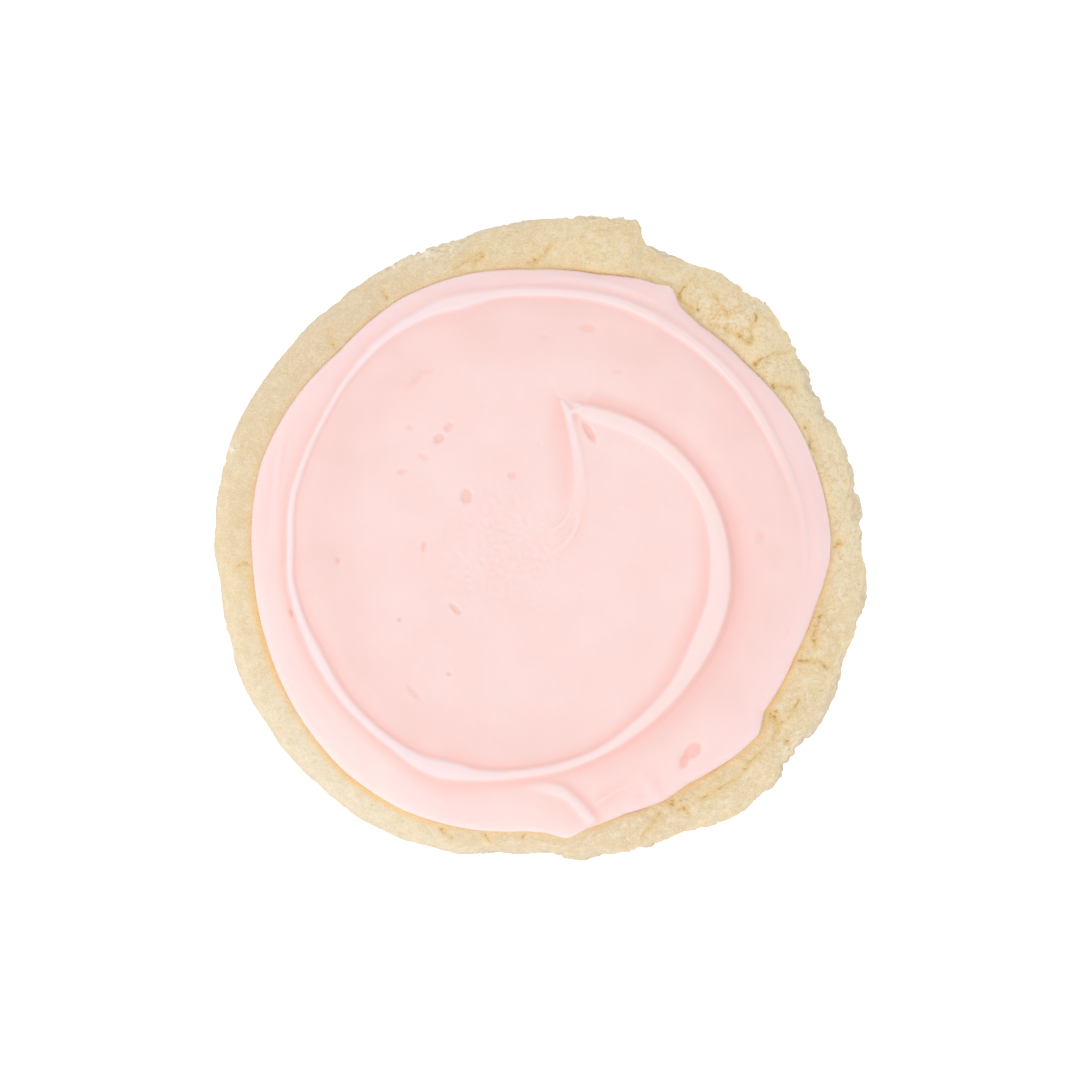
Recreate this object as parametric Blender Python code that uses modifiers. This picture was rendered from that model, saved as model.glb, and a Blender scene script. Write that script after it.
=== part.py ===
"""An iced sugar cookie, in metres: a thick round baked cookie with a craggy rim, and soft icing
spread over it in one spiral pass of a knife. +Z is up, +Y is the torn side of the rim."""

import math

import bpy
import numpy as np
from mathutils import Vector, noise

MM = 0.001

# Baked cookie
COOKIE_RADIUS = 52.5
WIDEST_AT = 6.0
RIM_TOP = 14.4
SEAT = 14.1
SHOULDER = 7.0
SHOULDER_POWER = 2.2
FOOT = 3.6
FOOT_POWER = 2.4
# Direction in degrees and radius in mm where the rim's outline turns
COOKIE_OUTLINE = (
    (0, 51.4), (14, 51.5), (27, 50.1), (45, 52.3), (57, 51.0), (70, 50.3), (72, 53.1), (80, 52.5),
    (90, 51.4), (105, 50.0), (125, 50.2), (145, 50.9), (160, 52.1), (182, 52.7), (188, 52.1),
    (204, 53.3), (222, 53.6), (236, 53.8), (255, 52.8), (259, 51.6), (268, 51.2), (281, 52.7),
    (304, 54.1), (315, 54.6), (318, 53.8), (325, 54.1), (338, 53.3), (350, 53.5), (356, 51.9),
)
# Direction in degrees and how craggy the rim is there, from 0 to 1
CRAGS = (
    (0, 0.9), (40, 1.0), (70, 0.8), (95, 0.45), (130, 0.2), (180, 0.1), (225, 0.2), (265, 0.5), (310, 1.0),
)
CRAG_DEPTH = 1.1
CRAG_SIZES = (9.0, 4.0)
FLAT_BELOW = 3.0
RIM_CLEAR = 0.1
RIM_RISE = 1.2

# Icing
GAP = 0.3
ICING_RADIUS = 45.5
ICING_OUTLINE = (
    (0, 45.9), (25, 44.2), (40, 42.5), (53, 42.0), (57.5, 42.4), (59.5, 42.9), (61.2, 44.1), (62.6, 44.7),
    (63.6, 44.6), (65, 44.1), (69, 43.8), (78, 42.6),
    (92, 42.4), (105, 43.2), (120, 43.8), (137, 43.4), (150, 44.6), (165, 45.8), (187, 45.8),
    (200, 46.4), (215, 47.4), (230, 48.3), (243, 48.3), (256, 47.5), (267, 46.5), (271, 46.7),
    (275, 47.8), (279, 46.6), (287, 45.7), (295, 46.0), (301, 45.4), (312, 46.3), (318, 46.5),
    (322, 44.8), (335, 44.4), (346, 44.8), (355, 45.8),
)
CORNER_REACH = 0.5
EDGE_HEIGHT = 1.9
EDGE_WIDEST = 0.3
EDGE_ROLL = 2.2
EDGE_UNDER = 0.3
BAND_RISE = 1.0
BAND_WIDTH = 8.0
DISH_DEPTH = 0.5
DISH_RADIUS = 36.0
# A ridge's cross-section: the widths over which its sides fall, and its slightly domed top
LEAST_FALL = 0.4
MOST_FALL = 1.1
DOME = 0.2
# Between these widths a ridge gains a hollow beyond its steep side and a long tail on its soft side
TAIL_WIDTHS = (1.3, 3.5)
HOLLOW_DEPTH = 0.4
HOLLOW_AT = 1.5
HOLLOW_SPREAD = 1.6
TAIL_SHARE = 0.35
TAIL_LENGTH = 6.0
RIDGE_HEIGHT = 0.65
# Turn in degrees, radius, width and height of the knife's spiral ridge, from its tail to its tip
SWIRL = (
    (-11.4, 42.2, 0.8, 0.00), (-4.8, 41.9, 0.9, 0.10), (3.7, 41.3, 1.1, 0.16), (9.6, 40.8, 1.3, 0.22),
    (15.5, 40.2, 1.4, 0.32), (21.4, 39.7, 1.4, 0.45), (30.8, 39.4, 1.7, 0.65), (37.6, 39.3, 1.7, 0.75),
    (49.8, 39.0, 1.7, 0.85), (61.0, 38.9, 1.9, 0.85), (71.2, 39.0, 1.7, 0.85), (80.8, 38.8, 1.6, 0.80),
    (90.1, 38.7, 1.6, 0.80), (99.4, 39.0, 1.6, 0.80), (104.1, 39.1, 2.1, 0.85), (108.8, 39.3, 2.7, 0.90),
    (113.5, 39.7, 2.5, 0.90), (119.0, 39.8, 1.9, 0.85), (128.5, 39.9, 1.5, 0.75), (140.8, 39.4, 1.1, 0.65),
    (151.5, 39.0, 1.0, 0.60), (161.7, 39.2, 1.1, 0.60), (171.3, 39.6, 1.2, 0.65), (181.6, 39.5, 1.3, 0.70),
    (189.5, 40.0, 1.3, 0.75), (199.0, 39.9, 1.5, 0.80), (207.6, 39.8, 2.1, 0.90), (219.7, 40.0, 1.7, 0.85),
    (232.9, 40.0, 1.7, 0.85), (241.8, 40.2, 2.7, 0.95), (246.5, 39.8, 3.3, 1.00), (251.1, 39.2, 3.0, 1.00),
    (255.7, 38.7, 2.2, 0.95), (265.0, 37.4, 1.7, 0.90), (274.8, 36.3, 1.7, 0.90), (285.5, 35.0, 1.7, 0.95),
    (298.1, 33.3, 2.4, 1.10), (314.5, 31.6, 3.0, 1.30), (326.1, 30.5, 3.9, 1.50), (340.7, 29.6, 3.9, 1.60),
    (353.0, 28.5, 3.5, 1.60), (365.9, 27.4, 3.0, 1.50), (380.3, 26.1, 2.4, 1.40), (398.2, 24.0, 2.4, 1.35),
    (415.8, 22.3, 2.1, 1.30), (424.5, 21.8, 1.7, 1.20), (431.0, 21.7, 1.3, 1.00), (433.5, 22.0, 0.6, 0.60),
)
# x, y, width and height along each smaller ridge: where the knife left, its hook at the edge, and
# the flap and fold of icing dragged beside them
PEAK = (
    (3.4, 21.3, 0.5, 0.6), (3.9, 20.5, 0.9, 0.9), (4.3, 19.2, 1.1, 1.0), (5.1, 16.2, 1.3, 0.9),
    (5.6, 13.1, 1.2, 0.7), (5.8, 9.9, 1.1, 0.45), (5.8, 6.8, 0.9, 0.22), (5.3, 4.1, 0.8, 0.1), (4.2, 1.3, 0.8, 0.0),
)
HOOK = (
    (-1.8, -39.2, 1.6, 0.10), (0.5, -39.5, 2.2, 0.45), (2.7, -40.0, 2.4, 0.65), (4.5, -41.0, 1.9, 0.9),
    (5.9, -42.4, 1.9, 1.0), (7.0, -43.7, 1.6, 1.0), (7.7, -44.5, 1.2, 0.7),
)
FLAP = ((4.4, 19.8, 0.9, 0.9), (5.4, 19.9, 1.0, 0.75), (6.5, 20.4, 0.9, 0.9))
FOLD = ((8.9, -41.9, 0.6, 0.3), (10.5, -40.8, 0.6, 0.35), (12.1, -39.9, 0.6, 0.3), (14.4, -38.5, 0.5, 0.08))
# x, y, half length, half width, turn in degrees and depth of each pit in the icing
PITS = (
    (-16.0, 15.6, 1.0, 0.7, 40, 0.30), (-14.5, 17.4, 0.9, 0.6, 50, 0.20), (-11.7, 6.5, 1.25, 0.95, 85, 0.30),
    (7.4, 33.0, 1.2, 0.7, 0, 0.17), (7.6, 16.6, 1.9, 0.6, 122, 0.40), (-13.5, -11.2, 1.2, 0.5, 135, 0.30),
    (23.9, -33.6, 1.75, 1.15, 35, 0.40), (22.5, -35.4, 1.1, 0.65, 80, 0.40),
)
# x and y along each crack in the rim
CRACKS = (
    ((1.5, 46.3), (-0.1, 44.1), (-2.1, 43.2)), ((24.3, 40.9), (23.5, 40.5), (22.5, 39.8), (21.7, 38.0)),
    ((29.3, 33.2), (31.7, 32.0), (33.1, 30.9), (33.5, 33.2), (34.2, 35.4)),
    ((33.8, 27.3), (34.4, 28.2), (37.4, 29.4), (39.2, 29.5)), ((36.8, 23.9), (38.0, 24.3), (40.4, 23.9)),
    ((44.5, -12.2), (43.2, -15.4), (43.5, -17.4)), ((40.8, -19.5), (42.8, -19.4), (44.8, -20.0), (45.9, -20.9)),
    ((36.4, -27.3), (37.4, -29.7), (37.0, -32.1)), ((36.8, -32.5), (34.8, -34.0), (31.7, -37.6), (28.5, -39.4)),
    ((19.1, -43.2), (16.3, -47.1)),
)
CRACK_WIDTH = 0.9
CRACK_DEPTH = 0.5

# Fineness of the two solids: rings along each stretch of their profiles, and triangles in all
TURN_STEPS = 288
SEAT_RINGS = 46
SHOULDER_RINGS = 22
SIDE_RINGS = 12
COOKIE_BASE_RINGS = 8
ICING_TOP_RINGS = 104
ICING_ROLL_RINGS = 10
ICING_UNDER_RINGS = 5
ICING_BASE_RINGS = 10
POINTS_PER_KNOT = 14
BATCHES = 20
COOKIE_TRIANGLES = 5200
ICING_TRIANGLES = 7400


def by_direction(table, degrees, reach=2.0):
    """The table's value in each direction, its corners eased over the degrees within reach."""
    directions, values = zip(*table)
    shifts = np.linspace(-reach, reach, 5)
    eased = [np.interp(degrees + shift, directions, values, period=360) for shift in shifts]
    return np.average(eased, axis=0, weights=(1, 2, 3, 2, 1))


def ease(share):
    """0 below 0, 1 above 1, and a smooth rise between."""
    share = np.clip(share, 0, 1)
    return share * share * (3 - 2 * share)


def smooth(knots, per_span):
    """Rows of numbers joined by a smooth curve through all of them."""
    rows = np.array(knots, float)
    rows = np.vstack([2 * rows[0] - rows[1], rows, 2 * rows[-1] - rows[-2]])
    share = np.linspace(0, 1, per_span, endpoint=False)[:, None]
    spans = []
    for before, start, end, after in zip(rows, rows[1:], rows[2:], rows[3:]):
        bend = 2 * before - 5 * start + 4 * end - after
        twist = 3 * start - 3 * end + after - before
        spans.append(start + 0.5 * ((end - before) * share + bend * share**2 + twist * share**3))
    return np.vstack(spans + [rows[-2:-1]])


def beside(x, y, line):
    """Each point's distance from a line, plus on the right of its run, and the place along it."""
    ahead = np.gradient(line[:, :2], axis=0)
    ahead /= np.linalg.norm(ahead, axis=1)[:, None]
    place = np.concatenate([
        np.hypot(some_x[:, None] - line[:, 0], some_y[:, None] - line[:, 1]).argmin(axis=1)
        for some_x, some_y in zip(np.array_split(x, BATCHES), np.array_split(y, BATCHES))
    ])
    off_x = x - line[place, 0]
    off_y = y - line[place, 1]
    across = off_x * ahead[place, 1] - off_y * ahead[place, 0]
    along = off_x * ahead[place, 0] + off_y * ahead[place, 1]
    past_end = np.where((place == 0) | (place == len(line) - 1), along, 0)
    return np.copysign(np.hypot(across, past_end), across), place


def ridge(x, y, line):
    """Height of a knife ridge: steep with a hollow beyond its foot on the right, soft on the left."""
    across, place = beside(x, y, line)
    width = line[place, 2]
    distance = np.abs(across)
    past_edge = distance - width / 2
    fall = np.clip(width / 2, LEAST_FALL, MOST_FALL)
    body = ease(0.5 - past_edge / fall) * (1 - DOME * np.minimum(2 * distance / width, 1) ** 2)
    share = np.interp(width, TAIL_WIDTHS, (0, 1))
    steep = body - HOLLOW_DEPTH * share * np.exp(-(((past_edge - HOLLOW_AT) / HOLLOW_SPREAD) ** 2))
    tail = TAIL_SHARE * share
    soft = (1 - tail) * body + tail * np.exp(-distance / TAIL_LENGTH)
    return RIDGE_HEIGHT * line[place, 3] * np.where(across > 0, steep, soft)


def pit(x, y, centre_x, centre_y, half_length, half_width, turn, depth):
    """Depth of one steep-sided oval pit."""
    turn = math.radians(turn)
    along = (x - centre_x) * math.cos(turn) + (y - centre_y) * math.sin(turn)
    across = (y - centre_y) * math.cos(turn) - (x - centre_x) * math.sin(turn)
    return depth * np.exp(-(((along / half_length) ** 2 + (across / half_width) ** 2) ** 3))


def lumps(x, y, z, size):
    """Smooth uneven swelling, its lumps about one size across."""
    points = np.column_stack([x, y, z]) / size
    return np.array([noise.noise(Vector(point)) for point in points])


def turned(name, profile):
    """A mesh turned from a profile of radius and height that runs from its top down to its base."""
    outline = bpy.data.meshes.new(name + "_profile")
    outline.from_pydata(
        [(radius * MM, 0, height * MM) for radius, height in profile],
        [(i, i + 1) for i in range(len(profile) - 1)],
        [],
    )
    body = bpy.data.objects.new(name + "_profile", outline)
    bpy.context.scene.collection.objects.link(body)
    screw = body.modifiers.new("turn", "SCREW")
    screw.steps = TURN_STEPS
    screw.render_steps = TURN_STEPS
    screw.use_merge_vertices = True
    screw.merge_threshold = 0.0001
    bpy.context.view_layer.update()
    graph = bpy.context.evaluated_depsgraph_get()
    mesh = bpy.data.meshes.new_from_object(body.evaluated_get(graph), depsgraph=graph)
    bpy.data.objects.remove(body)
    mesh.name = name
    return mesh


def points_of(mesh):
    """The mesh's points in mm, as columns x, y and z."""
    points = np.empty(len(mesh.vertices) * 3)
    mesh.vertices.foreach_get("co", points)
    return (points.reshape(-1, 3) / MM).T


def lay(mesh, x, y, z):
    """Moves the mesh's points to these places in mm."""
    mesh.vertices.foreach_set("co", (np.column_stack([x, y, z]) * MM).ravel())
    mesh.update()


def material(name, colour, roughness):
    """A plain non-metal material."""
    made = bpy.data.materials.new(name)
    made.use_nodes = True
    shader = made.node_tree.nodes["Principled BSDF"]
    shader.inputs["Base Color"].default_value = (*colour, 1)
    shader.inputs["Roughness"].default_value = roughness
    shader.inputs["Metallic"].default_value = 0
    return made


def piece(mesh, triangles, look, collection):
    """An object of the mesh, thinned to a number of triangles and shaded smooth."""
    made = bpy.data.objects.new(mesh.name, mesh)
    collection.objects.link(made)
    mesh.materials.append(look)
    mesh.polygons.foreach_set("use_smooth", [True] * len(mesh.polygons))
    mesh.calc_loop_triangles()
    thin = made.modifiers.new("thin", "DECIMATE")
    thin.ratio = triangles / len(mesh.loop_triangles)
    return made


def shoulder(inset):
    """Height of the cookie's rounded shoulder at each distance in from the rim's outline."""
    share = np.clip(1 - inset / SHOULDER, 0, 1)
    return WIDEST_AT + (RIM_TOP - WIDEST_AT) * (1 - share**SHOULDER_POWER) ** (1 / SHOULDER_POWER)


def cookie_profile():
    """Radius and height from the middle of the seat, over the rim and down to the base."""
    top = [(radius, RIM_TOP) for radius in np.linspace(0, COOKIE_RADIUS - SHOULDER, SEAT_RINGS)]
    rim = []
    for turn in np.linspace(0, math.pi / 2, SHOULDER_RINGS)[1:]:
        inset = SHOULDER * (1 - math.sin(turn) ** (2 / SHOULDER_POWER))
        rim.append((COOKIE_RADIUS - inset, float(shoulder(inset))))
    side = []
    for turn in np.linspace(0, math.pi / 2, SIDE_RINGS)[1:]:
        inset = FOOT * (1 - math.cos(turn) ** (2 / FOOT_POWER))
        side.append((COOKIE_RADIUS - inset, WIDEST_AT * (1 - math.sin(turn) ** (2 / FOOT_POWER))))
    base = [(radius, 0) for radius in np.linspace(COOKIE_RADIUS - FOOT, 0, COOKIE_BASE_RINGS)[1:]]
    return top + rim + side + base


def make_cookie(collection):
    """The baked cookie: flat base, bulging side, craggy rim and a flat seat under the icing."""
    mesh = turned("cookie", cookie_profile())
    x, y, z = points_of(mesh)
    degrees = np.degrees(np.arctan2(y, x))
    outline = by_direction(COOKIE_OUTLINE, degrees)
    stretch = outline / COOKIE_RADIUS
    x = x * stretch
    y = y * stretch
    radius = np.hypot(x, y)
    on_top = z > WIDEST_AT
    outside_icing = ease((radius - by_direction(ICING_OUTLINE, degrees, CORNER_REACH) - RIM_CLEAR) / RIM_RISE)
    rim = shoulder(outline - radius)
    seat = np.minimum(rim, SEAT)
    z = np.where(on_top, seat + (rim - seat) * outside_icing, z)

    craggy = by_direction(CRAGS, degrees)
    swell = sum(lumps(x, y, z, size) * size for size in CRAG_SIZES) / max(CRAG_SIZES)
    push = CRAG_DEPTH * craggy * swell * ease(z / FLAT_BELOW) * np.where(on_top, outside_icing, 1)
    for crack in CRACKS:
        across, _ = beside(x, y, smooth(crack, POINTS_PER_KNOT))
        push -= CRACK_DEPTH * np.exp(-((2 * across / CRACK_WIDTH) ** 2)) * np.where(on_top, outside_icing, 0)
    out = np.maximum(radius - (outline - SHOULDER), 0)
    up = np.maximum(z - WIDEST_AT, 0)
    away = np.maximum(np.hypot(out, up), 1)
    widen = 1 + push * out / away / np.maximum(radius, 1)
    lay(mesh, x * widen, y * widen, z + push * up / away)
    return piece(mesh, COOKIE_TRIANGLES, material("baked_cookie", (0.81, 0.64, 0.42), 0.85), collection)


def icing_profile():
    """Radius and height above the underside, from the middle of the top round the rolled edge."""
    top = [(radius, EDGE_HEIGHT) for radius in np.linspace(0, ICING_RADIUS - EDGE_ROLL, ICING_TOP_RINGS)]
    roll = []
    for turn in np.linspace(0, math.pi / 2, ICING_ROLL_RINGS)[1:]:
        inset = EDGE_ROLL * (1 - math.sin(turn))
        roll.append((ICING_RADIUS - inset, EDGE_WIDEST + (EDGE_HEIGHT - EDGE_WIDEST) * math.cos(turn)))
    under = []
    for turn in np.linspace(0, math.pi / 2, ICING_UNDER_RINGS)[1:]:
        inset = EDGE_UNDER * (1 - math.cos(turn))
        under.append((ICING_RADIUS - inset, EDGE_WIDEST * (1 - math.sin(turn))))
    base = [(radius, 0) for radius in np.linspace(ICING_RADIUS - EDGE_UNDER, 0, ICING_BASE_RINGS)[1:]]
    return top + roll + under + base


def relief(x, y):
    """Height of the knife's marks over the icing's top."""
    swirl = smooth(SWIRL, POINTS_PER_KNOT)
    turn = np.radians(swirl[:, 0])
    swirl[:, :2] = np.column_stack([np.cos(turn), np.sin(turn)]) * swirl[:, 1:2]
    marks = [ridge(x, y, swirl)]
    marks += [ridge(x, y, smooth(knots, POINTS_PER_KNOT)) for knots in (PEAK, HOOK, FLAP, FOLD)]
    lift = np.maximum(np.max(marks, axis=0), 0)
    hollow = np.minimum(np.min(marks, axis=0), 0)
    dish = DISH_DEPTH * np.clip(1 - np.hypot(x, y) ** 2 / DISH_RADIUS**2, 0, 1)
    return lift + hollow - dish - sum(pit(x, y, *sizes) for sizes in PITS)


def make_icing(collection):
    """The icing: flat underside, rolled edge and the knife's spiral over its top."""
    mesh = turned("icing", icing_profile())
    x, y, z = points_of(mesh)
    outline = by_direction(ICING_OUTLINE, np.degrees(np.arctan2(y, x)), CORNER_REACH)
    stretch = outline / ICING_RADIUS
    x = x * stretch
    y = y * stretch
    inset = outline - np.hypot(x, y)
    on_top = ease((z - EDGE_WIDEST) / (EDGE_HEIGHT - EDGE_WIDEST))
    z = z + on_top * (BAND_RISE * ease(inset / BAND_WIDTH) + relief(x, y))
    lay(mesh, x, y, z + SEAT + GAP)
    return piece(mesh, ICING_TRIANGLES, material("pink_icing", (0.96, 0.70, 0.665), 0.45), collection)


def centre(pieces):
    """Moves all pieces so that the middle of the cookie's box is over the origin."""
    bpy.context.view_layer.update()
    x, y, _ = points_of(pieces[0].data)
    for each in pieces:
        each_x, each_y, each_z = points_of(each.data)
        lay(each.data, each_x - (x.max() + x.min()) / 2, each_y - (y.max() + y.min()) / 2, each_z)


for old in list(bpy.data.objects):
    bpy.data.objects.remove(old)
cookie_group = bpy.data.collections.new("iced_sugar_cookie")
bpy.context.scene.collection.children.link(cookie_group)
centre([make_cookie(cookie_group), make_icing(cookie_group)])
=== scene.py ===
"""Looks of an iced sugar cookie: a thick baked round with a craggy rim, its crumbs, and pink icing
spread over it by one turn of a knife. Sizes are in millimetres, and meshes are laid in metres."""

import math

import bpy
import numpy as np
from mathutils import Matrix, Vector, noise


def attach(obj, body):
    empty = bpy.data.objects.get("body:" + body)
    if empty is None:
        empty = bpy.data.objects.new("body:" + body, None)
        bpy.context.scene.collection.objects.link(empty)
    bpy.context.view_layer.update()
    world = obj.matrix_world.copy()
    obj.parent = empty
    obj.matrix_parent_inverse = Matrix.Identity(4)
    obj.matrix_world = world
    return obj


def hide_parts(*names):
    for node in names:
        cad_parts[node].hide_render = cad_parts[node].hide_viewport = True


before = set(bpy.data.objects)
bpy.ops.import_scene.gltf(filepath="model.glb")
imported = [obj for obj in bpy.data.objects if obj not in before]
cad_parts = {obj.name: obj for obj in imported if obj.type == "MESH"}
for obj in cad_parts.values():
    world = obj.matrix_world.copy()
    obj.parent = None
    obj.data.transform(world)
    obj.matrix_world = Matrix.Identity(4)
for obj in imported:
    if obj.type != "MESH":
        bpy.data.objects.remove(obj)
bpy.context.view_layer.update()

# Baked cookie. A ball of soft dough that spread in the oven: flat and browned below, a bulging
# side, and a rim that stayed smooth on the left and broke into crags and cracks on the right.
MM = 0.001
COOKIE_RADIUS = 52.5
COOKIE_WIDEST_AT = 6.0
RIM_TOP = 14.4
SEAT = 14.1
SHOULDER = 7.0
SHOULDER_POWER = 2.2
FOOT = 3.6
FOOT_POWER = 2.4
COOKIE_STEPS = 1200
SHOULDER_RINGS = 30
SIDE_RINGS = 20
SEAT_RINGS = (0, 15, 30)
RIM_RINGS_FROM = 39.5
RIM_RING_GAP = 0.26
BASE_RINGS = (47, 40, 20, 0)
JOIN_WITHIN = 0.01
# Direction in degrees and radius where the rim's outline turns
COOKIE_OUTLINE = (
    (0, 51.4), (14, 51.5), (27, 50.1), (45, 52.3), (57, 51.0), (70.5, 50.1), (73, 53.2), (80, 52.5),
    (90, 51.4), (105, 50.0), (125, 50.2), (145, 50.9), (160, 52.1), (182, 52.7), (188, 52.1),
    (204, 53.3), (222, 53.6), (236, 53.8), (255, 52.8), (259, 51.6), (268, 51.2), (281, 52.7),
    (304, 54.1), (315, 54.6), (318, 53.8), (325, 54.1), (338, 53.3), (350, 53.5), (356, 51.9),
)
# Direction in degrees and radius where the icing's outline turns, which the seat follows
ICING_OUTLINE = (
    (0, 45.9), (25, 44.2), (40, 42.5), (53, 42.0), (57.5, 42.4), (59.5, 42.9), (61.2, 44.1),
    (62.6, 44.7), (63.6, 44.6), (65, 44.1), (69, 43.8), (78, 42.6), (92, 42.4), (105, 43.2),
    (120, 43.8), (137, 43.4), (150, 44.6), (165, 45.8), (187, 45.8), (200, 46.4), (215, 47.4),
    (230, 48.3), (243, 48.3), (256, 47.5), (267, 46.5), (271, 46.7), (275, 47.8), (279, 46.6),
    (287, 45.7), (295, 46.0), (301, 45.4), (312, 46.3), (318, 46.5), (322, 44.8), (335, 44.4),
    (346, 44.8), (355, 45.8),
)
# Degrees over which corners are eased: of most tables, of the icing's outline and of the torn corner
CORNER_EASE = 2.0
ICING_EASE = 0.5
TEAR_EASE = 0.9
EASE_WEIGHTS = (1, 2, 3, 2, 1)
RIM_CLEAR = -0.4
RIM_RISE = 0.9
# Direction in degrees and how craggy the rim is there, from 0 to 1
CRAGS = (
    (0, 0.9), (40, 1.0), (70, 0.8), (95, 0.45), (130, 0.2), (180, 0.1), (225, 0.2), (265, 0.5),
    (310, 1.0),
)
CRAG_DEPTH = 1.1
CRAG_SIZES = (9.0, 4.0)
FLAT_BELOW = 3.0
CRACK_WIDTH = 0.6
CRACK_DEPTH = 0.3
CRACK_LINE = 0.17
FARTHEST = 3.0
LEAST_STRENGTH = 0.05
# Size of each kind of bend along a crack and how far it pushes the crack aside
CRACK_WANDERS = ((1.4, 0.35), (0.4, 0.16))
CRACK_POINT_GAP = 0.12
POINTS_AT_ONCE = 4000
# Size of the unevenness of a crack's width and its share
CRACK_UNEVEN = (1.1, 1.4)
# Size of the unevenness of a crack's depth, its middle, its share and the least depth
CRACK_DEEPENS = (2.3, 0.95, 1.3, 0.4)
GLOW_SPREAD = 4
GLOW_STAIN = 0.3
# x and y along each crack in the rim
CRACKS = (
    ((1.5, 46.3), (-0.1, 44.1), (-2.1, 43.2)), ((-9.2, 44.8), (-10.8, 43.5)),
    ((-25.2, 40.0), (-24.4, 37.9)), ((-33.6, 33.2), (-32.6, 30.0)),
    ((-47.9, -4.6), (-47.1, -3.8), (-46.2, -4.3)), ((-13.5, 42.9), (-11.5, 44.2), (-9.0, 45.6)),
    ((24.3, 40.9), (23.5, 40.5), (22.5, 39.8), (21.7, 38.0), (23.9, 36.4)),
    ((26.9, 33.8), (29.3, 33.2), (31.7, 32.0), (33.1, 30.9), (33.5, 33.2), (34.2, 35.4)),
    ((33.8, 27.3), (34.4, 28.2), (37.4, 29.4), (39.2, 29.5)),
    ((36.8, 23.9), (38.0, 24.3), (40.4, 23.9)), ((27.5, 38.6), (29.0, 36.6), (29.6, 35.0)),
    ((42.1, 17.5), (42.9, 14.8), (43.6, 13.8)), ((46.4, -1.7), (47.5, -0.3)),
    ((44.5, -12.2), (43.2, -15.4), (43.5, -17.4)),
    ((40.8, -19.5), (42.8, -19.4), (44.8, -20.0), (45.9, -20.9)),
    ((36.4, -27.3), (37.4, -29.7), (37.0, -32.1)), ((40.8, -26.0), (39.6, -28.4), (37.4, -29.7)),
    (
        (36.8, -32.5), (34.8, -34.0), (33.2, -35.6), (31.7, -37.6), (28.5, -39.4), (24.1, -42.2),
        (21.7, -43.2),
    ),
    ((19.1, -43.2), (16.3, -47.1)), ((-2.5, -47.1), (-2.9, -47.9)),
    ((-9.0, -47.1), (-8.4, -47.9), (-7.8, -48.5)), ((-15.9, -46.1), (-14.6, -47.1), (-14.0, -47.7)),
)
# x, y and radius of each pocket where the dough tore open
POCKETS = (
    (33.1, 31.2, 0.5), (31.5, 32.0, 0.4), (29.3, 33.2, 0.3), (27.8, 33.7, 0.25), (36.8, 23.9, 0.4),
    (34.0, 27.5, 0.4), (22.0, 38.2, 0.4), (44.3, -12.5, 0.4), (43.4, -16.3, 0.5), (36.9, -28.3, 0.8),
    (37.5, -30.5, 0.4), (20.7, -41.9, 0.6), (22.7, -43.0, 0.4), (-0.9, 43.9, 0.5), (24.9, 36.2, 0.3),
    (-15.6, -46.3, 0.35), (47.3, -1.0, 0.4), (-8.8, -47.3, 0.3), (39.4, -32.6, 0.5), (-32.9, 30.6, 0.3),
)
POCKET_DEPTH = 0.3
# Size of the unevenness of a pocket's edge and its share
POCKET_UNEVEN = (0.6, 0.5)
LUMP_SIZE = 1.7
LUMP_DEPTH = 0.6
# Size of each kind of chip in the outline and its share of the depth
JAGS = ((5.5, 1.0), (1.7, 0.5), (0.7, 0.38))
# Direction in degrees, half width in degrees and depth of each nick in the outline
NICKS = (
    (112.4, 0.5, 0.9), (114.0, 0.3, 0.5), (109.6, 0.4, 0.35), (84.5, 0.6, 0.3), (320.4, 0.5, 0.7),
    (318.6, 0.35, 0.6), (322.6, 0.4, 0.5), (2.0, 0.5, 0.4), (14.2, 0.6, 0.4), (24.5, 0.5, 0.45),
    (34.0, 0.5, 0.4), (166.5, 0.4, 0.35), (269.5, 0.6, 0.4), (302.0, 0.5, 0.35),
)
NICK_AT = COOKIE_WIDEST_AT + 1
NICK_TALL = 2.2
JAG_PATCHES = 9.0
JAG_DEPTH = 1.5
JAG_WITHIN = 3.0
JAG_TALLER = 3
JAG_BASE = 0.15
JAG_LEAST_CRAG = 0.12
JAG_OFF_PATCH = 0.3
# Share of the lumps and grain where the rim is smooth and where it is craggy or flaky
LUMPS_BY_CRAG = (0.3, 1.6)
GRAIN_BY_CRAG = (0.9, 1.6)
GRAIN_BY_FLAKE = (1.0, 2.6)
LUMP_MIDDLE = 0.16
GRAIN_SIZE = 0.55
GRAIN_DEPTH = 0.16
GRAIN_MIDDLE = 0.56
# Heights in metres between which lumps and grain set in above the flat base
SMOOTH_BASE = (0.0002, 0.002)
HAIRLINE_GAP = 3.4
HAIRLINE_WIDTH = 0.14
HAIRLINE_SHARE = 0.35
HAIRLINE_SWAY = 2.8
# Direction in degrees and how strongly the crumb beside the icing turns golden orange: partly a fat and
# sugar stain, partly painted shade at the icing's foot
STAINS_AND_SHADE = (
    (0, 0.3), (30, 0.2), (60, 0.25), (85, 0.45), (110, 0.25), (150, 0.15), (185, 0.35), (195, 0.9),
    (207, 0.9), (214, 0.5), (222, 0.6), (232, 0.95), (245, 0.8), (256, 0.4), (290, 0.35), (310, 0.6),
    (330, 0.7), (345, 0.6),
)
STAIN_AND_SHADE_REACH = 1.0
STAIN_AND_SHADE_STEEPNESS = 3
# Direction in degrees and how far the crumb's colour turns paler there, most towards the lower left
PALE_SIDE = (
    (190, 0.0), (215, 0.7), (232, 1.0), (250, 0.5), (270, 0.0), (300, 0.1), (360, 0.15), (390, 0.0),
)
# Direction in degrees and how much painted shade darkens the crumb there, most at the bottom and the upper
# left
PAINTED_SHADE_SIDE = (
    (80, 0.0), (100, 0.2), (125, 0.9), (150, 0.8), (180, 0.5), (205, 0.2), (240, 0.2), (262, 1.0),
    (285, 0.8), (310, 0.1), (360, 0.0),
)
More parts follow.
